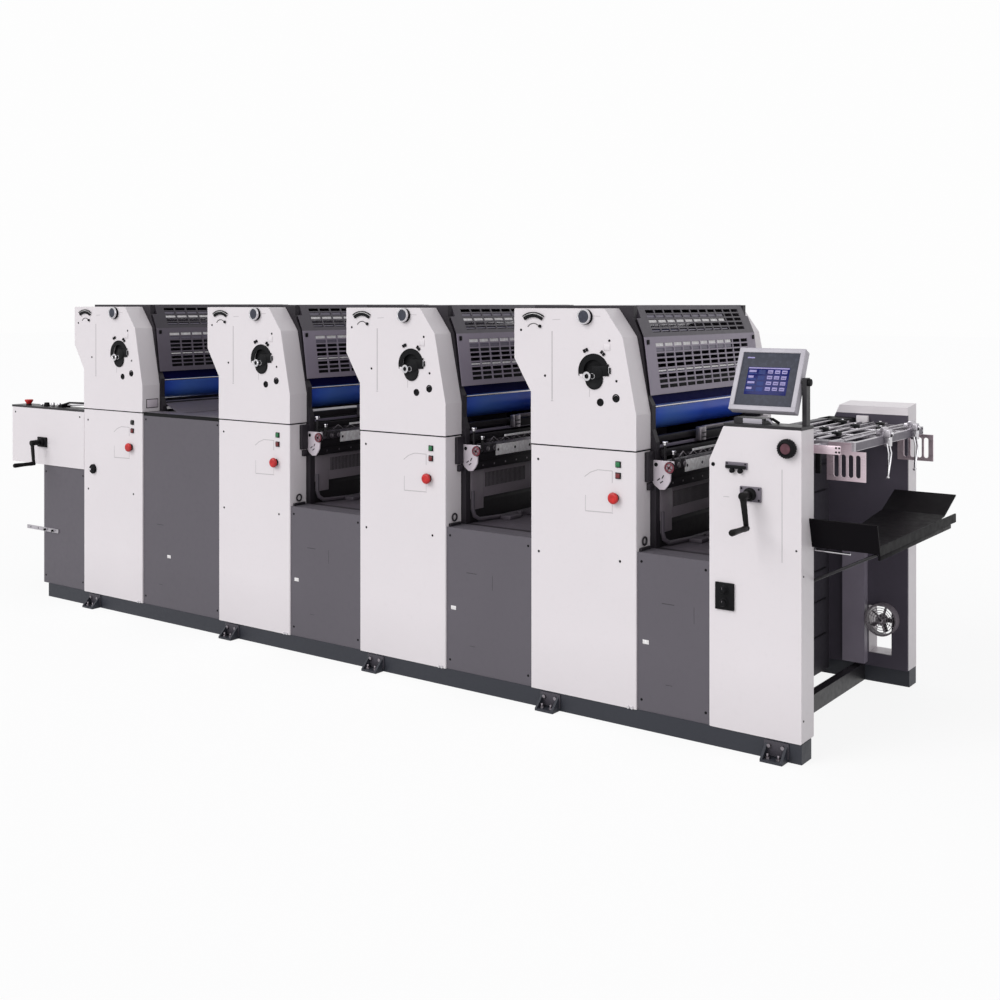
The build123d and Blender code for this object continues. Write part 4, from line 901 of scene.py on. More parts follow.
class PRESS_OT_bays(bpy.types.Operator):
    """Rails, brackets, dials, guides and cross bars between the units"""

    bl_idname = "press.bays"
    bl_label = "Bay mechanisms"

    def execute(self, context):
        coat_nodes("guide_black", "transfer_guides")
        coat_nodes("bright_trim", "rail_brackets_far")
        steel, chrome, black, rose, pale, lilac, rods, bars, aluminium, sheets, plates, dark = meshes(12)
        navy, black_shade_tops, slope, box, edge = meshes(5)
        near, far = FRAME_NEAR, FRAME_FAR
        for unit in UNITS:
            pegs(-OUT, (unit.right, near, NIP_HEIGHT), (rods, (-0.002, 0, 0), far - near, 0.0042, 16))
            boxes((unit.right, 0, 0), (bars, -0.014, near, 1.145, 0.012, far, 1.171, 0.003))
            # Navy and black sheets over each cylinder: painted shade for the dark band under the guard's foot and
            # behind its lowest slots
            for target, foot, head, low, high in ((navy, 0.02, 0.023, 1.299, 1.345),
                                                  (black_shade_tops, 0.023, 0.0265, 1.3452, 1.402)):
                cross_sheet(target, unit.right,
                            ((-foot - 0.0035, low), (-foot, low), (-head, high), (-head - 0.0035, high)))
        # Slope over the first bay's deck, and the small box on that unit's side
        x, end = UNITS[0].right, UNITS[1].left - 0.001
        cross_sheet(slope, x, ((-0.013, 1.1755), (0.13, 1.1135), (0.13, 1.1095), (-0.013, 1.1715)))
        block(slope, (x + 0.03, near + 0.001, 1.1092), (end, far - 0.001, 1.1112), 0.0005)
        block(slope, (x + 0.001, COVER_FACE + 0.0025, SEAM), (end, near - 0.032, SEAM + 0.002), 0.0005)
        block(edge, (x + 0.001, COVER_FACE - 0.0006, SEAM - 0.016), (end, COVER_FACE + 0.0024, SEAM + 0.0025))
        boxes((x, FACE, 0), (box, 0, 0.03, 1.147, 0.0035, 0.102, 1.189, 0.001),
              (dark, 0, 0.026, 1.143, 0.0015, 0.106, 1.193))
        pieces((slope, "first_bay_sheets", "plate_mauve"), (edge, "first_bay_edge", "control_black"),
               (box, "unit_1_side_box", "bright_trim"))
        for unit in UNITS[1:]:
            bay = Vector((unit.right, 0, 0))
            # Strip, bar, rail, its pale face and the bar below it
            boxes(bay, (lilac, 0.012, near, 1.124, 0.024, far, 1.136, 0.002),
                  (bars, 0.026, near, 1.09, 0.046, far, 1.118, 0.003),
                  (aluminium, 0.053, near + 0.008, 1.038, 0.065, far - 0.008, 1.078, 0.0015),
                  (pale, 0.0655, -0.36, 1.014, 0.07, far - 0.012, 1.064, 0.0015),
                  (bars, 0.054, near + 0.01, 1.0, 0.063, far - 0.012, 1.037, 0.0015))
            # Bright holder and thin bar in front of the cylinder, and a pale ruler
            boxes(bay, (steel, 0.03, -0.196, 1.13, 0.058, -0.146, 1.188, 0.003),
                  (dark, 0.0585, -0.19, 1.142, 0.0592, -0.152, 1.148),
                  (dark, 0.0585, -0.19, 1.16, 0.0592, -0.152, 1.166),
                  (steel, 0.034, -0.146, 1.176, 0.05, far, 1.19, 0.002),
                  (bars, 0.03, -0.146, 1.134, 0.05, far, 1.168, 0.003),
                  (pale, 0.062, -0.287, 1.096, 0.07, 0.36, 1.105, 0.0008))
            bracket_plate(plates, unit.right)
            dial(black, rose, steel, Vector((unit.right + 0.096, PLATE_FACE, SEAM - 0.069)))
            # Dark marks and hole on the bracket plate
            pegs(OUT, bay, (black, (0.03, PLATE_FACE + 0.001, 1.06), 0.0018, 0.0085, 20))
            for dx, z, lean in ((0.042, 1.0, -35), (0.056, 0.99, -35), (0.062, 1.012, -60)):
                block(black, (-0.008, -0.0006, -0.0022), (0.008, 0.0006, 0.0022),
                      turn=turned(bay + Vector((dx, PLATE_FACE - 0.0004, z)), lean))
            # Two posts with bright heads over the rail
            for dx, y, z, radius in ((0.057, near - 0.012, 1.149, 0.0125), (0.073, near + 0.03, 1.108, 0.0105)):
                pegs(UP, (unit.right + dx, y, z), (bars, (0, 0, 1.05 - z), z - 1.058, 0.0055, 14),
                     (chrome, (0, 0, -0.01), 0.006, radius * 0.7, 20),
                     (chrome, (0, 0, -0.003), 0.009, radius, 24, 0.002))
            linkage(dark, steel, unit.right + 0.053)
            # Dark beam with screw heads under the rail
            boxes(bay, (bars, 0.035, near, 0.958, 0.055, far, 1.0, 0.002))
            pegs(ALONG, bay, *((steel, (0.0549, near + 0.06 + step * 0.088, 0.976), 0.0013, 0.0045, 12)
                               for step in range(11)))
            # Grey guide sheet with a finely ribbed field near the operator
            boxes(bay, (sheets, 0.0235, near + 0.004, 0.822, 0.0255, far - 0.004, 0.952, 0.0006),
                  (sheets, 0.0255, near + 0.006, 0.772, 0.0285, near + 0.1, 0.95, 0.0006),
                  *((bars, 0.004, y - 0.008, 0.85, 0.0236, y + 0.008, 0.87, 0.001) for y in (-0.3, 0, 0.3)))
            pegs(UP, bay, *((bars, (0.0259, -0.385 + step * 0.0105, 0.868), 0.066, 0.0021, 6) for step in range(31)))
            # Box, catch and lifting hook at the operating side
            boxes((unit.right, FACE, 0), (dark, 0, 0.066, 0.99, 0.018, 0.117, SEAM - 0.008, 0.003),
                  (dark, 0, 0.082, 0.955, 0.016, 0.108, 0.985, 0.002),
                  (dark, 0, 0.022, COVER_TOP + 0.0005, 0.012, 0.1, COVER_TOP + 0.013, 0.002))
            hoop(dark, (unit.right + 0.006, FACE + 0.059, 0.751), 0.016, 0.004, ALONG, 24)
        pieces((rods, "nip_rods", "chrome_steel"), (bars, "bay_dark_bars", "guide_black"),
               (lilac, "bay_lilac_strips", "strip_lilac"), (aluminium, "bay_rails", "rail_aluminium"),
               stands_for=("unit_rails",))
        piece(plates, "rail_bracket_plates", "bright_trim", stands_for=("rail_brackets_near",))
        # The sheets over the cylinders, painted shade
        pieces((navy, "nip_shade_sheets", "nip_navy"), (black_shade_tops, "nip_shade_sheet_tops", "control_black"),
               (sheets, "guide_sheets", "guide_grey"), (steel, "bay_steel_parts", "dull_steel"),
               (chrome, "bay_chrome_knobs", "chrome_steel"), (black, "bay_dial_bodies", "control_black"),
               (dark, "bay_dark_fittings", "frame_dark"), (rose, "bay_dial_rims", "dial_rose"),
               (pale, "bay_pale_parts", "tick_white"))
        return {"FINISHED"}


# Feeder


def crank(arm, grip, hub):
    """A hand crank: shaft, hub, arm with rounded ends, and a waisted grip."""
    reach = Vector((0.0146, 0, -0.1191))
    pegs(-OUT, hub, (arm, (0, -0.0784, 0), 0.07, 0.0109, 28), (arm, (0, -0.0814, 0), 0.055, 0.0158, 32, 0.002),
         (arm, reach + OUT * 0.0799, 0.0155, 0.0112, 28, 0.002))
    start = hub + OUT * 0.0654
    end = start + reach
    across = Vector((-reach.z, 0, reach.x)).normalized()
    slab(arm, [start + across * 0.0125, end + across * 0.0092, end - across * 0.0092, start - across * 0.0125],
         OUT * 0.013, 0.0038)
    lathe(grip, [(0, 0), (0.0105, 0), (0.012, 0.006), (0.0106, 0.03), (0.0112, 0.07), (0.0125, 0.1),
                 (0.0128, 0.116), (0.0105, 0.1225), (0, 0.125)], end + OUT * 0.013, OUT, 28)


class PRESS_OT_cranks(bpy.types.Operator):
    """Two hand cranks on square bearing plates"""

    bl_idname = "press.cranks"
    bl_label = "Hand cranks"

    def execute(self, context):
        plates, caps = meshes(2)
        for body, target in (("feeder_crank", plates), ("delivery_crank", caps)):
            place = JOINTS[body]["pos_m"]
            hub = Vector((place[0], FACE, place[2]))
            arm, grip = meshes(2)
            crank(arm, grip, hub)
            pieces((arm, f"{body}_arm", "crank_black"), (grip, f"{body}_grip", "crank_black"),
                   body=body, stands_for=(body,))
            boxes(hub, (target, -0.044, -0.0095, -0.029, 0.044, 0, 0.029, 0.0025))
            lathe(plates, [(0.0112, 0.009), (0.0255, 0.009), (0.0255, 0.019), (0.0225, 0.024), (0.0168, 0.0258),
                           (0.0112, 0.0258)], hub, OUT, 36)
            for dx in (-0.036, 0.036):
                for dz in (-0.021, 0.021):
                    screw_head(plates, hub + Vector((dx, -0.0095, dz)), 0.0042)
        pieces((plates, "crank_bearings", "control_black"), (caps, "delivery_crank_plate", "plate_mauve"),
               stands_for=CONTROLS)
        return {"FINISHED"}


class PRESS_OT_feeder(bpy.types.Operator):
    """Feeder housings, caps, boards, suction bars and levers"""

    bl_idname = "press.feeder"
    bl_label = "Feeder"

    def execute(self, context):
        coat_nodes("housing_white", "feeder_housing_near", "feeder_housing_far")
        coat_nodes("cap_black", "feeder_cap_near", "feeder_cap_far")
        coat_nodes("deck_grey", "feed_board", "pile_board")
        coat_nodes("chrome_steel", "feeder_head_bars")
        coat_nodes("rail_aluminium", "feeder_guide_strip")
        left, x = FEEDER_LOW.x, UNITS[0].left
        red, chrome, black = meshes(3)
        corner = Vector((x, FACE + 0.045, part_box("feeder_cap_near")[1].z))
        stop = corner + Vector((-0.585, -0.01, 0))
        lathe(black, [(0, 0), (0.017, 0), (0.014, 0.008), (0, 0.008)], stop, UP, 24)
        lathe(red, [(0, 0.006), (0.013, 0.006), (0.016, 0.012), (0.0245, 0.026), (0.025, 0.03), (0.022, 0.033),
                    (0, 0.0345)], stop, UP, 32)
        # Knobs, levers and short rods on the cap
        pegs(UP, corner, (black, (-0.42, 0, 0), 0.022, 0.018, 24, 0.002, 0.014),
             (chrome, (-0.47, 0, 0), 0.01, 0.008, 24, 0.001))
        for back in (0.36, 0.30):
            pegs(UP, corner, (chrome, (-back, 0, 0), 0.024, 0.011, 24, 0.002),
                 (black, (-back - 0.025, 0.02, 0), 0.018, 0.009))
        for mesh, radius, bends in (
                (black, 0.0055, ((-0.28, 0, 0.012), (-0.2, 0, 0.03), (-0.05, 0, 0.034))),
                (chrome, 0.005, ((-0.27, 0.03, 0.008), (-0.1, 0.03, 0.022), (-0.02, 0.03, 0.02)))):
            wire(mesh, [corner + Vector(bend) for bend in bends], radius)
        boxes(corner, (black, -0.31, -0.01, 0, -0.26, 0.05, 0.016, 0.002))
        # Suction heads above the pile, and tapes over the feed board
        low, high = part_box("feeder_head_bars")
        for step in range(6):
            y = -0.38 + step * 0.152
            for bar in (left + 0.06, left + 0.14):
                block(black, (bar - 0.016, y - 0.012, low.z - 0.004), (bar + 0.016, y + 0.012, high.z + 0.004), 0.003)
            pegs(UP, (left + 0.14, y, low.z), (black, (0, 0, -0.03), 0.03, 0.009, 24, 0, 0.007))
        for y in (-0.3, -0.1, 0.1, 0.3):
            boxes((x, y, FEEDER_HIGH.z), (black, -0.32, -0.012, -0.02, 0.01, 0.012, -0.0155, 0.001))
        low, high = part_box("feeder_guide_strip")
        for share in (0.6, 0.84):
            place = Vector((low.x + (high.x - low.x) * share, low.y, 0.389))
            disc(chrome, place, 0.0105, 0, 0.004, 24)
            pegs(OUT, place, (black, (0, -0.0039, 0), 0.0081, 0.0072, 24, 0.0015))
        knob = Vector((x + 0.089, FACE, 0.781))
        lathe(black, [(0, 0), (0.0265, 0), (0.0265, 0.009), (0.023, 0.0135), (0.011, 0.015), (0, 0.015)],
              knob, OUT, 36)
        pegs(OUT, knob, (chrome, (0, -0.0145, 0), 0.0155, 0.0065, 20, 0.0015))
        for dx in (0.03, 0.66):
            screw_head(black, (left + dx, FACE, FEEDER_HIGH.z - 0.03), context.scene.press_size.screw_radius)
        pieces((red, "feeder_stop_button", "stop_red"), (chrome, "feeder_levers", "chrome_steel"),
               (black, "feeder_fittings", "control_black"))
        return {"FINISHED"}


# Delivery


class PRESS_OT_delivery(bpy.types.Operator):
    """Columns, cap, panel, posts, handle, switch plate and knob of the delivery"""

    bl_idname = "press.delivery"
    bl_label = "Delivery columns"

    def execute(self, context):
        coat_nodes("housing_white", "delivery_column_near", "delivery_column_far")
        coat_nodes("cap_black", "delivery_cap")
        coat_nodes("panel_black", "delivery_panel")
        coat_nodes("side_plate_grey", "delivery_side_plate")
        coat_nodes("post_mauve", "pile_guide_posts")
        sizes = context.scene.press_size
        left, right, top = COLUMN_LOW.x, COLUMN_HIGH.x, COLUMN_HIGH.z
        beads, lines, screws, grip, bar, plate, pins, knob, face, pin = meshes(10)
        for z in (0.2, 0.36, 0.5, 0.6, 0.72, 0.86, 0.98):
            boxes((left, 0, z), (beads, 0.012, -0.49, 0, 0.016, 0.49, 0.008, 0.0015))
        line(lines, (left + 0.302, top - 0.15), (left + 0.302, top - 0.5), sizes.line_width * 1.4)
        line(lines, (left + 0.06, top - 0.272), (left + 0.085, top - 0.272), sizes.line_width)
        screw_head(screws, (left + 0.016, FACE, top - 0.15), 0.008, OUT, 0.003)
        screw_head(screws, (right - 0.02, FACE, top - 0.45), 0.004)
        for z in (0.16, 0.7):
            screw_head(screws, (right, FACE + 0.02, z), 0.004, ALONG)
        pieces((beads, "panel_beads", "cap_black"), (lines, "column_lines", "panel_line"),
               (screws, "column_screws", "control_black"))
        # Handle with two knobs below it, and the switch plate
        handle, corner = Vector((left, FACE, top - 0.162)), Vector((left, FACE, 0))
        boxes(handle, (bar, 0.07, -0.006, 0, 0.162, 0, 0.027, 0.002),
              (grip, 0.074, -0.0175, 0.003, 0.158, -0.005, 0.015, 0.003))
        pegs(OUT, handle, *((grip, (x, -0.001, -0.006), 0.015, 0.0095, 24, 0.002) for x in (0.1, 0.134)))
        for x in (0.078, 0.154):
            screw_head(grip, handle + Vector((x, -0.006, 0.021)), 0.0035)
        boxes(corner, (plate, 0.028, -0.0095, 0.538, 0.107, 0, 0.643, 0.002))
        for z in (0.567, 0.617):
            lathe(plate, [(0, 0), (0.018, 0), (0.018, 0.004), (0.0145, 0.006), (0.0135, 0.017), (0.0115, 0.02),
                          (0, 0.02)], corner + Vector((0.067, -0.0095, z)), OUT, 28)
            boxes(corner, (pins, 0.0663, -0.03, z + 0.003, 0.0677, -0.0292, z + 0.011))
        for x in (0.033, 0.102):
            for z in (0.543, 0.638):
                screw_head(plate, corner + Vector((x, -0.0095, z)), 0.0035)
        pieces((bar, "column_handle_plate", "plate_mauve"), (grip, "column_handle", "control_black"),
               (plate, "switch_plate", "control_black"), (pins, "switch_marks", "dull_steel"), stands_for=CONTROLS)
        # Round knob with a knurled rim
        place = Vector((right - 0.053, FACE - 0.0005, top - 0.069))
        lathe(knob, [(0.0081, 0), (0.034, 0), (0.0345, 0.022), (0.031, 0.028), (0.024, 0.0298), (0.022, 0.026),
                     (0, 0.026)], place, OUT, 48)
        for step in range(sizes.knurls):
            pegs(OUT, place, (knob, spoke(2 * math.pi * step / sizes.knurls) * 0.0342 + OUT * 0.002, 0.02, 0.0027, 8))
        lathe(face, [(0, 0.0262), (0.0205, 0.0262), (0.0195, 0.0275), (0, 0.0285)], place, OUT, 32)
        pieces((knob, "column_knob_rim", "control_black"), (face, "column_knob_face", "knob_rose"),
               body="column_knob", stands_for=("column_knob",))
        pegs(OUT, (place.x, FACE, place.z), (pin, (0, 0, 0), 0.0195, 0.0079))
        piece(pin, "column_knob_pin", "dull_steel", stands_for=CONTROLS)
        return {"FINISHED"}


class PRESS_OT_fan(bpy.types.Operator):
    """Fan behind its wire guard at the window of the drive-side column"""

    bl_idname = "press.fan"
    bl_label = "Fan"

    def execute(self, context):
        coat_nodes("dull_steel", "fan_rotor")
        low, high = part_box("fan_guard")
        hub = Vector(((low.x + high.x) / 2, low.y, (low.z + high.z) / 2))
        front = hub - OUT * 0.003
        guard, shroud = meshes(2)
        for radius in (0.0655, 0.055, 0.0445, 0.034, 0.0235, 0.013):
            hoop(guard, front, radius, 0.0014, steps=36, sides=6)
        for step in range(8):
            way = spoke(math.pi * step / 4 + math.pi / 8)
            drum(guard, front + way * 0.01, front + way * 0.069, 0.0015, 8)
        pegs(-OUT, hub, (guard, (0, 0, 0), 0.038, 0.0058, 20), (guard, (0, 0, 0), 0.004, 0.0115, 24, 0.001))
        lathe(shroud, [(0.067, 0), (0.067, 0.046), (0.072, 0.046), (0.072, 0), (0.067, 0)],
              hub - OUT * 0.046, OUT, 48)
        pieces((guard, "fan_wires", "dull_steel"), (shroud, "fan_shroud", "guide_grey"), stands_for=("fan_guard",))
        return {"FINISHED"}


class PRESS_OT_sheet_rails(bpy.types.Operator):
    """Rails, slotted plates, clamps and fingers above the delivery pile"""

    bl_idname = "press.sheet_rails"
    bl_label = "Delivery rails"

    def execute(self, context):
        coat_nodes("rail_aluminium", "delivery_rails")
        coat_nodes("plate_silver", "slotted_plate_near", "slotted_plate_far")
        low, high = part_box("delivery_rails")
        silver, chrome, black, white, rosy, dark, mauve, fingers = meshes(8)
        z = high.z
        # Bars across the machine, over the tie rods: x, from y, to y, width
        for x, start, end, wide in ((2.033, 0.13, 0.533, 0.012), (2.112, -0.3, 0.4, 0.01), (2.168, -0.36, 0.4, 0.013),
                                    (2.226, -0.37, 0.41, 0.009), (2.282, -0.375, 0.4, 0.014),
                                    (2.356, -0.3, 0.4, 0.011), (2.4, -0.38, 0.4, 0.008)):
            boxes((x, 0, z), (silver, 0, start, 0.001, wide, end, 0.008, 0.002))
        for x, y in ((2.112, -0.3), (2.168, -0.05), (2.226, 0.15), (2.282, -0.2), (2.356, 0.1), (2.112, 0.3),
                     (2.282, 0.3)):
            boxes((x, y, z), (black, -0.006, 0, 0.0005, 0.026, 0.034, 0.016, 0.003))
            pegs(UP, (x, y, z), (chrome, (0.01, 0.017, 0.016), 0.006, 0.006, 16, 0.001))
        for y in (-0.25, 0.02, 0.28):
            boxes((0, y, z), (silver, 2.05, 0, -0.026, 2.43, 0.012, -0.012, 0.002))
        # Clamps on the front bar, with their finger wires and blocks
        x = high.x
        for y in (-0.07, 0.26):
            clamp = Vector((x, y, z))
            boxes(clamp, (silver, -0.03, -0.016, -0.008, 0.028, 0.016, 0.026, 0.004),
                  (fingers, 0, -0.014, -0.042, 0.028, 0.014, 0.008, 0.003))
            pegs(-OUT, clamp, (silver, (-0.001, -0.02, 0.024), 0.04, 0.012, 24, 0.002),
                 (chrome, (0.013, -0.008, -0.168), 0.016, 0.0058, 16, 0.001))
            pegs(ALONG, clamp, (chrome, (0.026, 0, 0.01), 0.01, 0.008, 20, 0.002))
            for side in (-1, 1):
                bends = ((0.014, 0.013, -0.03), (0.022, 0.016, -0.07), (0.02, 0.013, -0.1), (0.013, 0.002, -0.168))
                wire(chrome, [clamp + Vector((dx, side * dy, dz)) for dx, dy, dz in bends], 0.0036)
        # Bright faces of the rails
        block(rosy, (2.33, low.y, z - 0.034), (x - 0.004, low.y + 0.002, z - 0.001), 0.0006)
        block(rosy, (2.345, -0.402, z - 0.034), (x - 0.012, -0.4002, z - 0.001))
        block(mauve, (x, -0.385, z - 0.032), (x + 0.0006, 0.4, z - 0.002))
        # Screws at the ends of the rails
        for dz in (-0.009, -0.025):
            for dx in (0.088, 0.1):
                screw_head(black, (COLUMN_HIGH.x + dx, low.y, z + dz), 0.0042)
            screw_head(black, (COLUMN_HIGH.x + 0.109, 0.4, z + dz), 0.0045, ALONG)
        # Inner boxes, dark boxes and rollers under the hood, and fittings between the near rail and the column
        inside = Vector((COLUMN_LOW.x, 0, 0))
        boxes(inside, (dark, 0.02, -0.33, 1.02, 0.06, 0.5, 1.2, 0.004),
              (dark, 0.02, -0.53, 1.0, 0.05, -0.33, 1.16, 0.004),
              (black, 0.01, 0.4, 1.13, 0.14, 0.533, 1.2, 0.006), (black, 0.23, 0.47, 1.12, 0.34, 0.533, 1.17, 0.004),
              (black, 0.07, -0.45, 1.06, 0.17, -0.412, 1.17, 0.004), (black, 0.14, -0.5, 1.1, 0.2, -0.41, 1.15, 0.004),
              (silver, 0.06, -0.46, z, 0.16, -0.4, z + 0.012, 0.003),
              (black, 0.26, -0.412, 1.06, 0.28, -0.398, 1.14, 0.002),
              (black, 0.335, -0.412, 1.06, 0.355, -0.398, 1.14, 0.002))
        pegs(-OUT, inside, (black, (0.03, 0.3, 1.15), 0.1, 0.03, 28, 0.004),
             (black, (0.1, 0.34, 1.14), 0.06, 0.022, 28, 0.004),
             (black, (0.3, -0.416, 1.1), 0.016, 0.02, 28, 0.003))
        pegs(UP, inside, (chrome, (0.18, -0.43, z - 0.01), 0.024, 0.009, 20, 0.002))
        # White bracket under the hood
        outline = ((0.150, 1.21), (0.204, 1.21), (0.204, 1.182), (0.176, 1.176), (0.172, 1.146), (0.150, 1.146))
        slab(white, [inside + Vector((dx, 0.532, height)) for dx, height in outline], OUT * 0.02, 0.002)
        pieces((silver, "delivery_bars", "rail_aluminium"), (rosy, "delivery_rail_faces", "plate_silver"),
               (mauve, "delivery_front_face", "plate_mauve"), (dark, "delivery_inner_boxes", "panel_black"),
               (chrome, "delivery_rods", "chrome_steel"), (black, "delivery_black_fittings", "control_black"),
               (white, "hood_bracket", "housing_white"))
        piece(fingers, "finger_blocks", "chrome_steel", stands_for=("sheet_fingers",))
        return {"FINISHED"}


class PRESS_OT_tray(bpy.types.Operator):
    """Delivery tray with its struts, rod and stiffener"""

    bl_idname = "press.tray"
    bl_label = "Delivery tray"

    def execute(self, context):
        coat_nodes("tray_black", "delivery_tray")
        coat_nodes("cap_black", "tray_struts")
        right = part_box("delivery_tray")[1].x
        chrome, black = meshes(2)
        wire(chrome, [(COLUMN_HIGH.x + 0.004, -0.53, 0.786), (right - 0.12, -0.53, 0.784)], 0.004)
        block(black, (right - 0.012, -0.545, 0.776), (right - 0.0005, 0.3, 0.7935), 0.003)
        pieces((chrome, "tray_rod", "chrome_steel"), (black, "tray_stiffener", "tray_black"))
        return {"FINISHED"}


class PRESS_OT_screen(bpy.types.Operator):
    """Touch screen with a silver case, slate bezel and lit display, and its stand"""

    bl_idname = "press.screen"
    bl_label = "Touch screen"

    def execute(self, context):
        body = "touch_screen"
        pivot = Vector(JOINTS[body]["pos_m"])
        centre = Vector((COLUMN_HIGH.x - 0.1655, pivot.y, pivot.z))
        lean = Matrix.Translation(centre) @ Matrix.Rotation(math.radians(90 - 25), 4, "X")
        case, bezel, display, tiles, navy, knob, trim = meshes(7)
        # The case with its four raised edges, the bezel and the display with its bars
        block(case, (-0.1365, -0.129, -0.021), (0.1365, 0.129, 0.012), 0.004, 3)
        boxes((0, 0, 0.008), (case, -0.1365, -0.129, 0, 0.1365, -0.11, 0.013, 0.002),
              (case, -0.1365, 0.11, 0, 0.1365, 0.129, 0.013, 0.002),
              (case, -0.1365, -0.112, 0, -0.1175, 0.112, 0.013, 0.002),
              (case, 0.1175, -0.112, 0, 0.1365, 0.112, 0.013, 0.002),
              (bezel, -0.1185, -0.111, 0.002, 0.1185, 0.111, 0.0085, 0.001),
              (display, -0.086, -0.064, 0.008, 0.086, 0.05, 0.0092, 0.0004),
              (tiles, -0.084, 0.043, 0.0092, 0.084, 0.048, 0.0094),
              (tiles, -0.098, 0.086, 0.0085, -0.068, 0.091, 0.0088))
        for row in range(4):
            corner = (0, 0.028 - row * 0.0235, 0.0172)
            boxes(corner, (tiles, -0.08, 0, 0, -0.05 - 0.008 * (row % 2), 0.009, 0.0004, 0.0003),
                  (navy, -0.082, -0.008, 0, -0.046, -0.002, 0.0003), (navy, -0.04, -0.008, 0, -0.012, 0.009, 0.0003))
            for x in (-0.002, 0.027, 0.056):
                boxes(corner, (tiles, x, -0.004, 0, x + 0.021, 0.01, 0.0005, 0.0003),
                      (display, x + 0.003, 0.0005, 0.0004, x + 0.018, 0.0035, 0.0007))
        pieces((case, "screen_case", "screen_silver"), (bezel, "screen_bezel", "bezel_slate"),
               (display, "screen_display", "display_blue"), (tiles, "screen_tiles", "display_tile"),
               (navy, "screen_fields", "display_navy"), body=body, stands_for=(body,), turn=lean)
        # The stand's knobs and the trim at its foot
        coat_nodes("cap_black", "screen_stand")
        pegs(ALONG, centre, (knob, (0.1605, 0, 0), 0.012, 0.014, 24, 0.002))
        foot = Vector((centre.x, FACE, COLUMN_HIGH.z + 0.012))
        for mesh, radius, bends in (
                (knob, 0.006, ((0, 0.07, 0.017), (0.02, 0.072, 0.018), (0.045, 0.072, 0.004))),
                (trim, 0.005, ((-0.004, 0.05, 0.017), (0.012, 0.05, 0.018), (0.028, 0.052, 0.004)))):
            wire(mesh, [foot + Vector(bend) for bend in bends], radius)
        boxes(foot, (trim, -0.085, 0.0285, 0.0015, -0.006, 0.03, 0.0205, 0.0005))
        pieces((trim, "screen_foot_trim", "screen_silver"), (knob, "screen_stand_knobs", "control_black"))
        return {"FINISHED"}


# Stage


def backdrop_light(tree):
    """One where the camera, a gloss reflection or a view through glass looks straight at it."""
    path = tree.nodes.new("ShaderNodeLightPath").outputs
    seen = path["Is Camera Ray"]
    for name in ("Is Glossy Ray", "Is Transmission Ray"):
        highest = tree.nodes.new("ShaderNodeMath")
        highest.operation = "MAXIMUM"
        join(tree, seen, highest.inputs[0])
        join(tree, path[name], highest.inputs[1])
        seen = highest.outputs["Value"]
    return seen


def show(tree, hidden, seen, out):
    """Gives the output node one shader where the viewer looks straight at it, and another elsewhere."""
    mix = tree.nodes.new("ShaderNodeMixShader")
    join(tree, backdrop_light(tree), mix.inputs["Fac"])
    join(tree, hidden, mix.inputs[1])
    join(tree, seen, mix.inputs[2])
    join(tree, mix.outputs["Shader"], tree.nodes.new(out).inputs["Surface"])


def lamp(name, strength, spread_deg, direction):
    """A broad, even lamp that shines along direction."""
    light = bpy.data.lights.new(name, "SUN")
    light.energy = strength
    light.angle = math.radians(spread_deg)
    add_object(name, light).rotation_euler = Vector(direction).to_track_quat("-Z", "Y").to_euler()


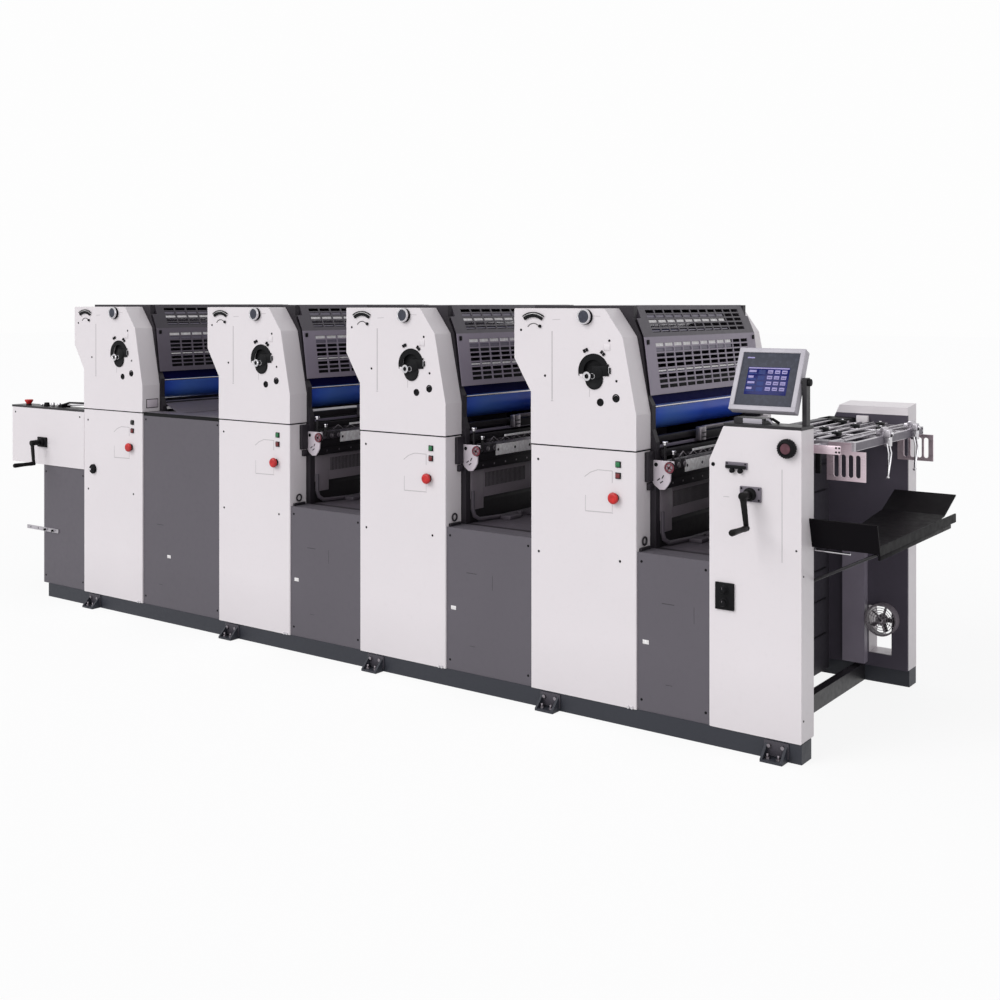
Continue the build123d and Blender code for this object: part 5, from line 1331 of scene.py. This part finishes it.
class PRESS_OT_stage(bpy.types.Operator):
    """White floor and surroundings, soft lamps and the camera"""

    bl_idname = "press.stage"
    bl_label = "Stage"

    def execute(self, context):
        scene = context.scene
        settings = scene.press_stage
        scene.view_settings.view_transform = "Standard"
        world = scene.world = bpy.data.worlds.new("studio_surroundings")
        world.use_nodes = True
        tree = world.node_tree
        tree.nodes.clear()
        soft = add_node(tree, "ShaderNodeBackground", Color=(0.97, 0.97, 1.0, 1), Strength=settings.world_strength)
        white = add_node(tree, "ShaderNodeBackground", Color=(0.985, 0.985, 0.985, 1), Strength=1.0)
        show(tree, soft.outputs["Background"], white.outputs["Background"], "ShaderNodeOutputWorld")

        floor_mesh = bmesh.new()
        bmesh.ops.create_grid(floor_mesh, x_segments=1, y_segments=1, size=60.0)
        data = bpy.data.meshes.new("studio_floor")
        floor_mesh.to_mesh(data)
        floor_mesh.free()
        material = bpy.data.materials.new("studio_floor")
        material.use_nodes = True
        tree = material.node_tree
        tree.nodes.clear()
        matt = add_node(tree, "ShaderNodeBsdfDiffuse", Color=(0.12, 0.12, 0.12, 1))
        glow = add_node(tree, "ShaderNodeEmission", Color=(1, 1, 1, 1), Strength=0.88)
        plain = add_node(tree, "ShaderNodeBsdfDiffuse", Color=(0.6, 0.6, 0.6, 1))
        both = tree.nodes.new("ShaderNodeAddShader")
        join(tree, matt.outputs["BSDF"], both.inputs[0])
        join(tree, glow.outputs["Emission"], both.inputs[1])
        show(tree, plain.outputs["BSDF"], both.outputs["Shader"], "ShaderNodeOutputMaterial")
        data.materials.append(material)
        add_object("studio_floor", data)

        lamp("key_lamp", settings.sun_strength, 40, (0.38, 0.74, -0.55))
        lamp("end_lamp", settings.fill_strength, 50, (-0.85, 0.2, -0.2))
        lamp("bay_lamp", settings.bay_strength, 30, (-0.45, 0.88, -0.2))

        lens = bpy.data.cameras.new("photo_camera")
        lens.lens, lens.sensor_width, lens.shift_y, lens.clip_end = settings.lens, 36.0, -0.1979, 200.0
        camera = scene.camera = add_object("photo_camera", lens)
        camera.location = (4.2558, -5.1705, 1.7266)
        camera.rotation_euler = (math.radians(90), 0, math.radians(36.1846))
        return {"FINISHED"}


class PRESS_PT_sidebar(bpy.types.Panel):
    """Sidebar page with the press's settings and steps"""

    bl_label = "Offset press"
    bl_idname = "PRESS_PT_sidebar"
    bl_space_type = "VIEW_3D"
    bl_region_type = "UI"
    bl_category = "Press"

    def draw(self, context):
        layout = self.layout
        for group in ("press_finish", "press_size", "press_stage"):
            settings = getattr(context.scene, group)
            box = layout.box()
            for name in settings.bl_rna.properties.keys():
                if name not in ("rna_type", "name"):
                    box.prop(settings, name)
        column = layout.column(align=True)
        for operator in OPERATORS:
            column.operator(operator.bl_idname)


OPERATORS = (
    PRESS_OT_base, PRESS_OT_frames, PRESS_OT_housings, PRESS_OT_operator_controls, PRESS_OT_guards,
    PRESS_OT_cylinders, PRESS_OT_rollers, PRESS_OT_covers, PRESS_OT_bays, PRESS_OT_cranks, PRESS_OT_feeder,
    PRESS_OT_delivery, PRESS_OT_fan, PRESS_OT_sheet_rails, PRESS_OT_tray, PRESS_OT_screen, PRESS_OT_stage,
)
GROUPS = (PressFinishSettings, PressSizeSettings, PressStageSettings)


def register():
    """Registers the settings, the operators and the panel."""
    for item in GROUPS + OPERATORS + (PRESS_PT_sidebar,):
        bpy.utils.register_class(item)
    bpy.types.Scene.press_finish = PointerProperty(type=PressFinishSettings)
    bpy.types.Scene.press_size = PointerProperty(type=PressSizeSettings)
    bpy.types.Scene.press_stage = PointerProperty(type=PressStageSettings)


def unregister():
    """Removes what register added."""
    for name in ("press_finish", "press_size", "press_stage"):
        delattr(bpy.types.Scene, name)
    for item in reversed(GROUPS + OPERATORS + (PRESS_PT_sidebar,)):
        bpy.utils.unregister_class(item)


def main():
    """Builds every piece in order."""
    register()
    mix_finishes()
    for operator in OPERATORS:
        group, name = operator.bl_idname.split(".")
        getattr(getattr(bpy.ops, group), name)()


if __name__ == "__main__":
    main()
